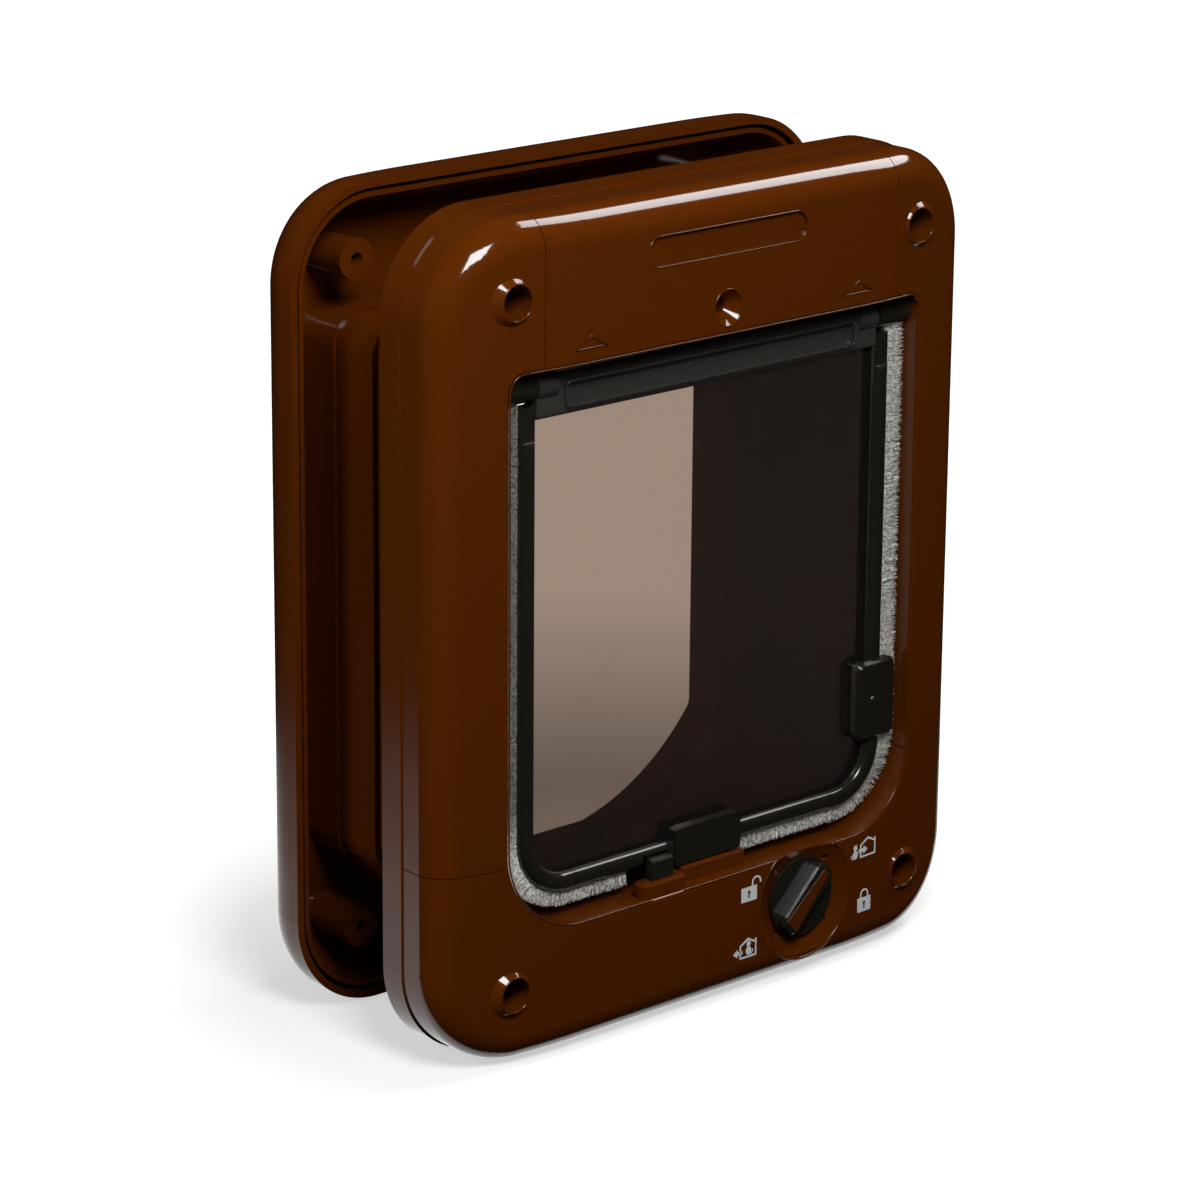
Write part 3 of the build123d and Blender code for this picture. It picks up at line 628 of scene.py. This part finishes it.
KEYHOLE_RADIUS = 0.55 * MM
KEYHOLE_HALF = 0.3 * MM
SHACKLE_RISE = 0.9 * MM

# In shares of the padlock's height
KEYHOLE_UP = 0.62
KEYHOLE_FOOT = 0.2

HOUSE_WIDTH = 6.6 * MM
WALL_HEIGHT = 4.1 * MM
RIDGE_HEIGHT = 6.0 * MM
CHIMNEY_HEIGHT = 5.2 * MM
CHIMNEY_WIDTH = 0.6 * MM
CHIMNEY_FOOT = 0.5 * MM
INNER_WALL_DROP = 0.1 * MM

# In widths of the drawn line: how far the inside stays below the outside
INNER_RIDGE_LINES = 1.25
INNER_EAVES_LINES = 0.45

ARROW_HEAD = 1.75 * MM
ARROW_HEAD_HALF = 1.25 * MM
ARROW_SHAFT_HALF = 0.55 * MM

# Half sizes of the cat's body and head, and outlines of its ears and tail from its foot
CAT_BODY = (1.05 * MM, 1.3 * MM)
CAT_HEAD = (0.8 * MM, 0.78 * MM)
CAT_HEAD_UP = 3.35 * MM
CAT_EARS = ((0.62 * MM, 4.5 * MM), (0.12 * MM, 4.1 * MM),
            (-0.12 * MM, 4.1 * MM), (-0.62 * MM, 4.5 * MM))
CAT_TAIL = ((0.5 * MM, 0.0), (1.35 * MM, 0.15 * MM), (1.75 * MM, 0.9 * MM), (1.75 * MM, 1.5 * MM),
            (1.4 * MM, 1.5 * MM), (1.38 * MM, 0.95 * MM), (1.05 * MM, 0.5 * MM))

# How far the film's middle stands off the front face, as a share of its thickness
FILM_MIDDLE = 0.4


def arc(across, up, wide, high, first, last, count):
    """Points on an elliptic arc between two angles in degrees."""
    turns = [math.radians(first + (last - first) * step / count) for step in range(count + 1)]
    return [(across + wide * math.cos(turn), up + high * math.sin(turn)) for turn in turns]


def bend(across, up, radius, first, last, count):
    """Points on a circular arc between two angles in degrees."""
    return arc(across, up, radius, radius, first, last, count)


def padlock(line, width, height, shackle, shackle_at, drop):
    """Outlines of a padlock with a keyhole: its body, and its shackle with one leg's drop."""
    hole = (width / 2, height * KEYHOLE_UP)
    body = [(0, 0), (width, 0), (width, height), (0, height)]
    keyhole = bend(*hole, KEYHOLE_RADIUS, -50, 230, 14) + [
        (hole[0] - KEYHOLE_HALF, height * KEYHOLE_FOOT),
        (hole[0] + KEYHOLE_HALF, height * KEYHOLE_FOOT)]
    rise = height + SHACKLE_RISE
    bow = bend(shackle_at, rise, shackle, 0, 180, 14)
    bow += [(shackle_at - shackle, height), (shackle_at - shackle + line, height)]
    bow += bend(shackle_at, rise, shackle - line, 180, 0, 14)
    bow += [(shackle_at + shackle - line, rise - drop), (shackle_at + shackle, rise - drop)]
    return [[body, keyhole], [bow]]


def house(line):
    """Outlines of a house with a pitched roof and a chimney, open inside."""
    chimney = HOUSE_WIDTH - CHIMNEY_WIDTH
    right = HOUSE_WIDTH - line
    outside = [(0, 0), (HOUSE_WIDTH, 0), (HOUSE_WIDTH, CHIMNEY_HEIGHT), (chimney, CHIMNEY_HEIGHT),
               (chimney, WALL_HEIGHT + CHIMNEY_FOOT), (HOUSE_WIDTH / 2, RIDGE_HEIGHT),
               (0, WALL_HEIGHT)]
    inside = [(line, line), (right, line), (right, WALL_HEIGHT - INNER_WALL_DROP),
              (HOUSE_WIDTH / 2, RIDGE_HEIGHT - INNER_RIDGE_LINES * line),
              (line, WALL_HEIGHT - INNER_EAVES_LINES * line)]
    return [outside, inside]


def arrow(tip, tail, up):
    """Outline of a short fat arrow from its tail to its tip."""
    way = 1 if tip > tail else -1
    neck = tip - way * ARROW_HEAD
    return [(tip, up), (neck, up + ARROW_HEAD_HALF), (neck, up + ARROW_SHAFT_HALF),
            (tail, up + ARROW_SHAFT_HALF), (tail, up - ARROW_SHAFT_HALF),
            (neck, up - ARROW_SHAFT_HALF), (neck, up - ARROW_HEAD_HALF)]


def sitting_cat(across, up, tail_side):
    """Outlines of a cat that sits with its back to the viewer: body, head with ears, and tail."""
    body = arc(across, up + CAT_BODY[1], *CAT_BODY, 0, 345, 23)
    head = arc(across, up + CAT_HEAD_UP, *CAT_HEAD, -230, 50, 18)
    head += [(across + reach, up + height) for reach, height in CAT_EARS]
    tail = [(across + tail_side * reach, up + height) for reach, height in CAT_TAIL]
    return [[body], [head], [tail]]


def print_sign(name, groups, place, film):
    """A sign in a thin film of ink that follows the front face."""
    layers = []
    for outlines in groups:
        curve = bpy.data.curves.new(name, "CURVE")
        curve.dimensions = "2D"
        curve.fill_mode = "BOTH"
        curve.extrude = film / 2
        for outline in outlines:
            spline = curve.splines.new("POLY")
            spline.points.add(len(outline) - 1)
            for point, (across, up) in zip(spline.points, outline):
                point.co = (across, up, 0, 1)
            spline.use_cyclic_u = True
        layer = bpy.data.objects.new(name, curve)
        bpy.context.scene.collection.objects.link(layer)
        layers.append(layer)
    pick(*layers)
    bpy.ops.object.convert(target="MESH")
    bpy.ops.object.join()
    sign = bpy.context.view_layer.objects.active
    sign.location = (place[0], 0, place[1])
    sign.rotation_euler = (math.radians(90), 0, 0)
    finish_piece(sign, name, finish(print_white), "room_frame")
    for vertex in sign.data.vertices:
        vertex.co.y += depth(crown(vertex.co.x)) - film * FILM_MIDDLE


class CATFLAP_OT_signs(bpy.types.Operator):
    """Print the four signs that show what each place of the knob does"""

    bl_idname = "cat_flap.signs"
    bl_label = "Print the signs"

    def execute(self, context):
        sizes = context.scene.cat_flap_signs
        line = sizes.line
        opened = padlock(line, width=6.1 * MM, height=4.4 * MM, shackle=1.85 * MM,
                         shackle_at=5.9 * MM, drop=0.5 * MM)
        closed = padlock(line, width=5.6 * MM, height=4.4 * MM, shackle=1.75 * MM,
                         shackle_at=2.8 * MM, drop=0.9 * MM)
        enter = [house(line), [arrow(tip=3.2 * MM, tail=-0.6 * MM, up=2.3 * MM)],
                 *sitting_cat(across=-2.0 * MM, up=0.1 * MM, tail_side=-1)]
        leave = [house(line), [arrow(tip=-2.6 * MM, tail=1.1 * MM, up=2.0 * MM)],
                 *sitting_cat(across=3.5 * MM, up=0.75 * MM, tail_side=1)]
        print_sign("open_lock_sign", opened, sizes.open_lock, sizes.film)
        print_sign("closed_lock_sign", closed, sizes.closed_lock, sizes.film)
        print_sign("way_in_sign", enter, sizes.way_in, sizes.film)
        print_sign("way_out_sign", leave, sizes.way_out, sizes.film)
        return {"FINISHED"}


# Rounded lips that catch the light along the moulded edges

OPENING_HALF = 76.5 * MM
SILL = 37.6 * MM
LINTEL = 196.2 * MM
LOWER_ROUND = 25.0 * MM
UPPER_ROUND = 5.0 * MM
RECESS_MIDDLE = 222.7 * MM
RECESS_HALF = 29.6 * MM
RECESS_ROUND = 4.3 * MM
SCREW_ACROSS = 75.0 * MM
SCREW_HEIGHTS = {"lower": 22.0 * MM, "upper": 216.0 * MM}
SCREW_RING = 5.05 * MM
SCREW_RING_SINK = 0.7 * MM
MIDDLE_SCREW = (0.0, 203.5 * MM)
MIDDLE_SCREW_RADIUS = 5.2 * MM
TRIANGLE_ACROSS = 49.9 * MM
TRIANGLE_FOOT = 200.2 * MM
TRIANGLE_HALF = 5.1 * MM
TRIANGLE_RISE = 3.4 * MM
KNOB_PLACE = (34.1 * MM, 23.4 * MM)
DISH_RADIUS = 18.3 * MM
DISH_TURN = (129, 411)
BOLT_LEFT = -25.6 * MM
BOLT_RIGHT = -13.4 * MM
PANEL_HALF = 53.9 * MM
PANEL_LOW = 183.6 * MM
PANEL_HIGH = 190.6 * MM
PANEL_ROUND = 1.4 * MM
STEP = 2.5 * MM
SIDES = {"left": -1, "right": 1}

# In shares of the lips' radius: how deep their middles lie, and how thick the dish's is
LIP_SINK = 0.5
TRIANGLE_SINK = 0.3
DISH_SINK = 1.0
DISH_THICKNESS = 1.8

BEAD_RINGS = 2
BEAD_SMOOTH = math.radians(50)
PIECE_SMOOTH = math.radians(40)


def ring(across, up, radius):
    """Points on a whole circle."""
    return bend(across, up, radius, 0, 350, 35)


def walk(points):
    """The same path with a point at least every step, so that it can follow the front face."""
    path = [points[0]]
    for start, end in zip(points, points[1:]):
        count = max(1, math.ceil(math.dist(start, end) / STEP))
        for part in range(1, count + 1):
            path.append(tuple(a + (b - a) * part / count for a, b in zip(start, end)))
    return path


def on_front(points, sink):
    """Points in space for a path across and up on the crowned front face."""
    return [(across, depth(crown(across) + sink), up) for across, up in points]


def bead(name, points, radius, material, body, closed=True):
    """A thin round bead along a path."""
    curve = bpy.data.curves.new(name, "CURVE")
    curve.dimensions = "3D"
    curve.bevel_depth = radius
    curve.bevel_resolution = BEAD_RINGS
    curve.use_fill_caps = True
    spline = curve.splines.new("POLY")
    spline.points.add(len(points) - 1)
    for point, place in zip(spline.points, points):
        point.co = (*place, 1)
    spline.use_cyclic_u = closed
    obj = bpy.data.objects.new(name, curve)
    bpy.context.scene.collection.objects.link(obj)
    pick(obj)
    bpy.ops.object.convert(target="MESH")
    bpy.ops.object.shade_smooth_by_angle(angle=BEAD_SMOOTH)
    finish_piece(obj, name, material, body)


def opening_edges():
    """The opening's edge from the bolt, round its left, top and right, to the knob's dish, and
    the short edge between the bolt and the dish."""
    gap = math.sqrt(DISH_RADIUS ** 2 - (SILL - KNOB_PLACE[1]) ** 2)
    lower = OPENING_HALF - LOWER_ROUND
    upper = OPENING_HALF - UPPER_ROUND
    path = [(BOLT_LEFT, SILL)]
    path += bend(-lower, SILL + LOWER_ROUND, LOWER_ROUND, 270, 180, 12)
    path += bend(-upper, LINTEL - UPPER_ROUND, UPPER_ROUND, 180, 90, 6)
    path += bend(upper, LINTEL - UPPER_ROUND, UPPER_ROUND, 90, 0, 6)
    path += bend(lower, SILL + LOWER_ROUND, LOWER_ROUND, 0, -90, 12)
    path.append((KNOB_PLACE[0] + gap, SILL))
    return walk(path), walk([(BOLT_RIGHT, SILL), (KNOB_PLACE[0] - gap, SILL)])


def recess_edge():
    """The edge of the long recess above the opening."""
    straight = RECESS_HALF - RECESS_ROUND
    return (bend(straight, RECESS_MIDDLE, RECESS_ROUND, -90, 90, 12)
            + bend(-straight, RECESS_MIDDLE, RECESS_ROUND, 90, 270, 12))


def triangle_edge(side):
    """The edge of the small triangular recess on one side."""
    middle = side * TRIANGLE_ACROSS
    return walk([(middle - TRIANGLE_HALF, TRIANGLE_FOOT), (middle + TRIANGLE_HALF, TRIANGLE_FOOT),
                 (middle, TRIANGLE_FOOT + TRIANGLE_RISE)])


def panel_edge():
    """The edge of the long panel in the hinge bar."""
    across = PANEL_HALF - PANEL_ROUND
    low, high = PANEL_LOW + PANEL_ROUND, PANEL_HIGH - PANEL_ROUND
    return (bend(across, low, PANEL_ROUND, -90, 0, 4) + bend(across, high, PANEL_ROUND, 0, 90, 4)
            + bend(-across, high, PANEL_ROUND, 90, 180, 4)
            + bend(-across, low, PANEL_ROUND, 180, 270, 4))


class CATFLAP_OT_lips(bpy.types.Operator):
    """Round the edges of the opening, recesses, dish, screw holes and hinge bar's panel"""

    bl_idname = "cat_flap.lips"
    bl_label = "Round the moulded edges"

    def execute(self, context):
        radius = context.scene.cat_flap_lips.radius
        brown = finish(brown_plastic)

        def lip(name, path, closed=True, sink=LIP_SINK, thickness=1.0):
            bead(name, on_front(path, radius * sink), radius * thickness, brown, "room_frame",
                 closed)

        long_edge, short_edge = opening_edges()
        lip("opening_lip", long_edge, closed=False)
        lip("sill_lip", short_edge, closed=False)
        lip("recess_lip", recess_edge())
        lip("middle_screw_lip", ring(*MIDDLE_SCREW, MIDDLE_SCREW_RADIUS))
        for tag, side in SIDES.items():
            lip(tag + "_arrow_lip", triangle_edge(side), sink=TRIANGLE_SINK)
            for level, up in SCREW_HEIGHTS.items():
                flat = [(across, depth(SCREW_RING_SINK), height)
                        for across, height in ring(side * SCREW_ACROSS, up, SCREW_RING)]
                bead(f"{level}_{tag}_screw_lip", flat, radius, brown, "room_frame")
        lip("dish_lip", bend(*KNOB_PLACE, DISH_RADIUS, *DISH_TURN, 48), closed=False,
            sink=DISH_SINK, thickness=DISH_THICKNESS)
        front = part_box("hinge_bar")[0][1]
        panel = [(across, front + radius * LIP_SINK, up) for across, up in panel_edge()]
        bead("panel_lip", panel, radius, finish(bar_plastic), "flap")
        return {"FINISHED"}


# Hinge caps: black mouldings whose blocks also paint shade into the upper corners

CAP_RADIUS = 3.95 * MM
CAP_START = 64.1 * MM
CAP_SIDE_GAP = 0.1 * MM
CAP_TOP_GAP = 0.15 * MM
CAP_BLOCK_SHARE = 0.98


class CATFLAP_OT_hinge_caps(bpy.types.Operator):
    """Close the two upper corners with the black blocks that hold the hinge pins, black that is
    partly painted shade of the corners
    """

    bl_idname = "cat_flap.hinge_caps"
    bl_label = "Cap the hinge corners"

    def execute(self, context):
        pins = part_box("left_hinge_pin")
        middle = (pins[0][1] + pins[1][1]) / 2
        axis_up = (pins[0][2] + pins[1][2]) / 2
        end = OPENING_HALF - CAP_SIDE_GAP
        top = LINTEL - CAP_TOP_GAP
        for tag, side in SIDES.items():
            centre = side * (CAP_START + end) / 2
            deselect()
            bpy.ops.mesh.primitive_cylinder_add(
                vertices=40, radius=CAP_RADIUS, depth=end - CAP_START,
                location=(centre, middle, axis_up), rotation=(0, math.radians(90), 0))
            barrel = context.active_object
            # The block fills the corner up to the lintel: partly the black moulding, partly painted
            # shade of the dark corner
            bpy.ops.mesh.primitive_cube_add(
                size=1, location=(centre, middle, (axis_up + top) / 2))
            block = context.active_object
            block.scale = (end - CAP_START, 2 * CAP_RADIUS * CAP_BLOCK_SHARE, top - axis_up)
            pick(barrel, block)
            bpy.ops.object.transform_apply(location=False, rotation=True, scale=True)
            bpy.ops.object.join()
            cap = context.active_object
            bpy.ops.object.shade_smooth_by_angle(angle=PIECE_SMOOTH)
            finish_piece(cap, tag + "_hinge_cap", finish(black_plastic), "room_frame")
        return {"FINISHED"}


# Rivet

RIVET_RADIUS = 0.8 * MM
RIVET_INSET = 9.5 * MM
RIVET_UP = 76.0 * MM

# Shares of the radius: how far behind the middle it is cut off, and how thick the rest stays
RIVET_CUT = 0.6
RIVET_FLATNESS = 0.5


class CATFLAP_OT_rivet(bpy.types.Operator):
    """Set the small domed rivet in the pad on the flap's right rim"""

    bl_idname = "cat_flap.rivet"
    bl_label = "Set the rivet"

    def execute(self, context):
        low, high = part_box("right_rim")
        deselect()
        bpy.ops.mesh.primitive_uv_sphere_add(
            segments=24, ring_count=12, radius=RIVET_RADIUS,
            location=(high[0] - RIVET_INSET, low[1], RIVET_UP))
        rivet = context.active_object
        bpy.ops.object.mode_set(mode="EDIT")
        bpy.ops.mesh.bisect(plane_co=(0, low[1] + RIVET_RADIUS * RIVET_CUT, 0),
                            plane_no=(0, 1, 0), use_fill=True, clear_outer=True)
        bpy.ops.mesh.select_all(action="SELECT")
        bpy.ops.transform.resize(value=(1.0, RIVET_FLATNESS, 1.0),
                                 center_override=(0, low[1], 0), orient_type="GLOBAL")
        bpy.ops.object.mode_set(mode="OBJECT")
        bpy.ops.object.shade_smooth_by_angle(angle=PIECE_SMOOTH)
        finish_piece(rivet, "side_pad_rivet", finish(brass), "flap")
        return {"FINISHED"}


# Stage

CAMERA_PLACE = (-799.6 * MM, depth(-845.6 * MM), 480.2 * MM)
CAMERA_TURN = (math.radians(74.357), math.radians(-0.451), math.radians(-41.562))
CAMERA_SHIFT = -0.1
CAMERA_SENSOR = 36.0
CAMERA_CLIP = (0.05, 20.0)

# For each light: the setting of its power, its place, what it faces, its size, and whether
# glossy surfaces mirror it
LIGHTS = {
    "top_light": ("top_power", (0.73, -0.12, 1.0), (0, -0.035, 0.2), (0.46, 0.56), True),
    "key_light": ("key_power", (-0.24, -0.46, 0.63), (0, 0, 0.15), (0.26, 0.26), True),
    "side_light": ("side_power", (-1.15, 0.05, 0.55), (0, 0, 0.12), (0.35, 0.9), False),
}

# The floor turns from its own colour to white between two distances from its middle
FLOOR_SIZE = 6.0
FLOOR_COLOUR = (0.92, 0.91, 0.90, 1.0)
FLOOR_GLOW = 1.2
FADE_REACH = (0.11, 0.18)
FADE_RANGE = (0.45, 1.0)
# Seen through the pane, the floor's glow is darker near its middle, a painted shadow, between two
# distances
PAINTED_SHADOW_REACH = (0.15, 0.36)
PAINTED_SHADOW_RANGE = (0.36, 1.0)

# What gloss mirrors: a white table that starts behind the object, in a nearly dark room
WHITE = (1.0, 1.0, 1.0, 1.0)
TABLE_WAY = (0.30, 0.85, -0.43)
TABLE_SPREAD = (0.48, 0.58)
TABLE_EDGE = (-0.32, -0.37)
ROOM_LIGHT = 0.004


def area_light(name, power, place, aim, size):
    """A soft rectangular lamp that faces a point."""
    lamp = bpy.data.lights.new(name, "AREA")
    lamp.shape = "RECTANGLE"
    lamp.size, lamp.size_y = size
    lamp.energy = power
    light = bpy.data.objects.new(name, lamp)
    bpy.context.scene.collection.objects.link(light)
    light.location = place
    light.rotation_euler = (Vector(aim) - Vector(place)).to_track_quat("-Z", "Y").to_euler()
    return light


class CATFLAP_OT_stage(bpy.types.Operator):
    """Set the pale floor, the soft lights and the camera"""

    bl_idname = "cat_flap.stage"
    bl_label = "Set the stage"

    def execute(self, context):
        scene = context.scene
        settings = scene.cat_flap_stage
        scene.view_settings.view_transform = "Standard"
        deselect()
        bpy.ops.mesh.primitive_plane_add(size=FLOOR_SIZE, location=(0, 0, 0))
        floor = context.active_object
        floor.name = "floor"
        floor.data.materials.append(self.floor_material())
        self.sky(scene, settings)
        for name, (power, place, aim, size, mirrored) in LIGHTS.items():
            light = area_light(name, getattr(settings, power), place, aim, size)
            light.visible_glossy = mirrored
        self.camera(scene, settings)
        return {"FINISHED"}

    def camera(self, scene, settings):
        """The camera that takes the photo's view."""
        camera = bpy.data.cameras.new("camera")
        camera.lens = settings.lens
        camera.sensor_width = CAMERA_SENSOR
        camera.shift_y = CAMERA_SHIFT
        camera.clip_start, camera.clip_end = CAMERA_CLIP
        eye = bpy.data.objects.new("camera", camera)
        scene.collection.objects.link(eye)
        eye.location = CAMERA_PLACE
        eye.rotation_euler = CAMERA_TURN
        scene.camera = eye

    def floor_material(self):
        """A pale floor that keeps the object's shadow, turns white away from it, and lets
        through to the sky the rays that bounced off a surface. Seen through the pane, its glow
        is darker near the object, a painted shadow."""
        material, tree, shader = new_material("pale_floor")
        tree.nodes.remove(shader)
        rays = tree.add("ShaderNodeLightPath").outputs
        length = tree.add("ShaderNodeVectorMath", operation="LENGTH")
        tree.join(tree.place(), length.inputs[0])
        away = length.outputs["Value"]
        seen = tree.maths("MAXIMUM", rays["Is Camera Ray"], rays["Is Transmission Ray"])
        direct = tree.maths("MULTIPLY", rays["Is Camera Ray"], FLOOR_GLOW)
        # Painted shadow: through the pane, the floor's glow fades in from its middle
        through = tree.maths("MULTIPLY", rays["Is Transmission Ray"],
                             tree.mapped(away, PAINTED_SHADOW_REACH, PAINTED_SHADOW_RANGE))
        glow = tree.add("ShaderNodeEmission", Color=WHITE)
        tree.join(tree.maths("ADD", direct, through), glow.inputs["Strength"])
        faded = tree.maths("MULTIPLY", tree.mapped(away, FADE_REACH, FADE_RANGE), seen)
        diffuse = tree.add("ShaderNodeBsdfDiffuse", Color=FLOOR_COLOUR)
        shown = tree.layer(faded, diffuse.outputs["BSDF"], glow.outputs["Emission"])
        bounced = tree.maths("MAXIMUM", rays["Is Glossy Ray"], rays["Is Diffuse Ray"])
        unseen = tree.maths("SUBTRACT", bounced, rays["Is Transmission Ray"])
        clear = tree.add("ShaderNodeBsdfTransparent")
        surface = tree.layer(unseen, shown, clear.outputs["BSDF"])
        tree.join(surface, tree.nodes["Material Output"].inputs["Surface"])
        return material

    def sky(self, scene, settings):
        """Even light from all round, which is white to the camera and through the pane. In
        gloss it is a nearly dark room with a white table."""
        world = bpy.data.worlds.new("studio")
        scene.world = world
        world.use_nodes = True
        tree = NodeTree(world.node_tree)
        way = tree.add("ShaderNodeTexCoord").outputs["Generated"]
        rays = tree.add("ShaderNodeLightPath").outputs
        parts = tree.add("ShaderNodeSeparateXYZ")
        tree.join(way, parts.inputs["Vector"])
        facing = tree.add("ShaderNodeVectorMath", operation="DOT_PRODUCT")
        tree.feed(facing.inputs, (way, TABLE_WAY))
        table = tree.maths("MULTIPLY", tree.mapped(facing.outputs["Value"], TABLE_SPREAD),
                           tree.mapped(parts.outputs["Z"], TABLE_EDGE))
        mirrored = tree.maths("ADD", table, ROOM_LIGHT)
        unseen = tree.blend(rays["Is Glossy Ray"], settings.sky, mirrored)
        seen = tree.maths("MAXIMUM", rays["Is Camera Ray"], rays["Is Transmission Ray"])
        back = tree.nodes["Background"]
        back.inputs["Color"].default_value = WHITE
        tree.join(tree.blend(seen, unseen, 1.0), back.inputs["Strength"])


class CATFLAP_PT_panel(bpy.types.Panel):
    """Lists the settings and the steps"""

    bl_idname = "CATFLAP_PT_panel"
    bl_label = "Cat flap"
    bl_space_type = "VIEW_3D"
    bl_region_type = "UI"
    bl_category = "Cat flap"

    def draw(self, context):
        layout = self.layout
        for group in GROUPS:
            settings = getattr(context.scene, group)
            column = layout.column()
            for key in settings.__annotations__:
                column.prop(settings, key)
        for operator in STEPS:
            layout.operator(operator.bl_idname)


GROUPS = {
    "cat_flap_finishes": CatFlapFinishes,
    "cat_flap_brush": CatFlapBrush,
    "cat_flap_signs": CatFlapSigns,
    "cat_flap_lips": CatFlapLips,
    "cat_flap_stage": CatFlapStage,
}
STEPS = (CATFLAP_OT_finishes, CATFLAP_OT_brushes, CATFLAP_OT_signs, CATFLAP_OT_lips,
         CATFLAP_OT_hinge_caps, CATFLAP_OT_rivet, CATFLAP_OT_stage)
CLASSES = (*GROUPS.values(), *STEPS, CATFLAP_PT_panel)


def register():
    """Adds the classes and the scene's settings."""
    for cls in CLASSES:
        bpy.utils.register_class(cls)
    for name, group in GROUPS.items():
        setattr(bpy.types.Scene, name, bpy.props.PointerProperty(type=group))


def unregister():
    """Takes the classes and the settings away again."""
    for name in GROUPS:
        delattr(bpy.types.Scene, name)
    for cls in reversed(CLASSES):
        bpy.utils.unregister_class(cls)


def main():
    """Runs every step in order."""
    register()
    for step in STEPS:
        group, name = step.bl_idname.split(".")
        getattr(getattr(bpy.ops, group), name)()


if __name__ == "__main__":
    main()
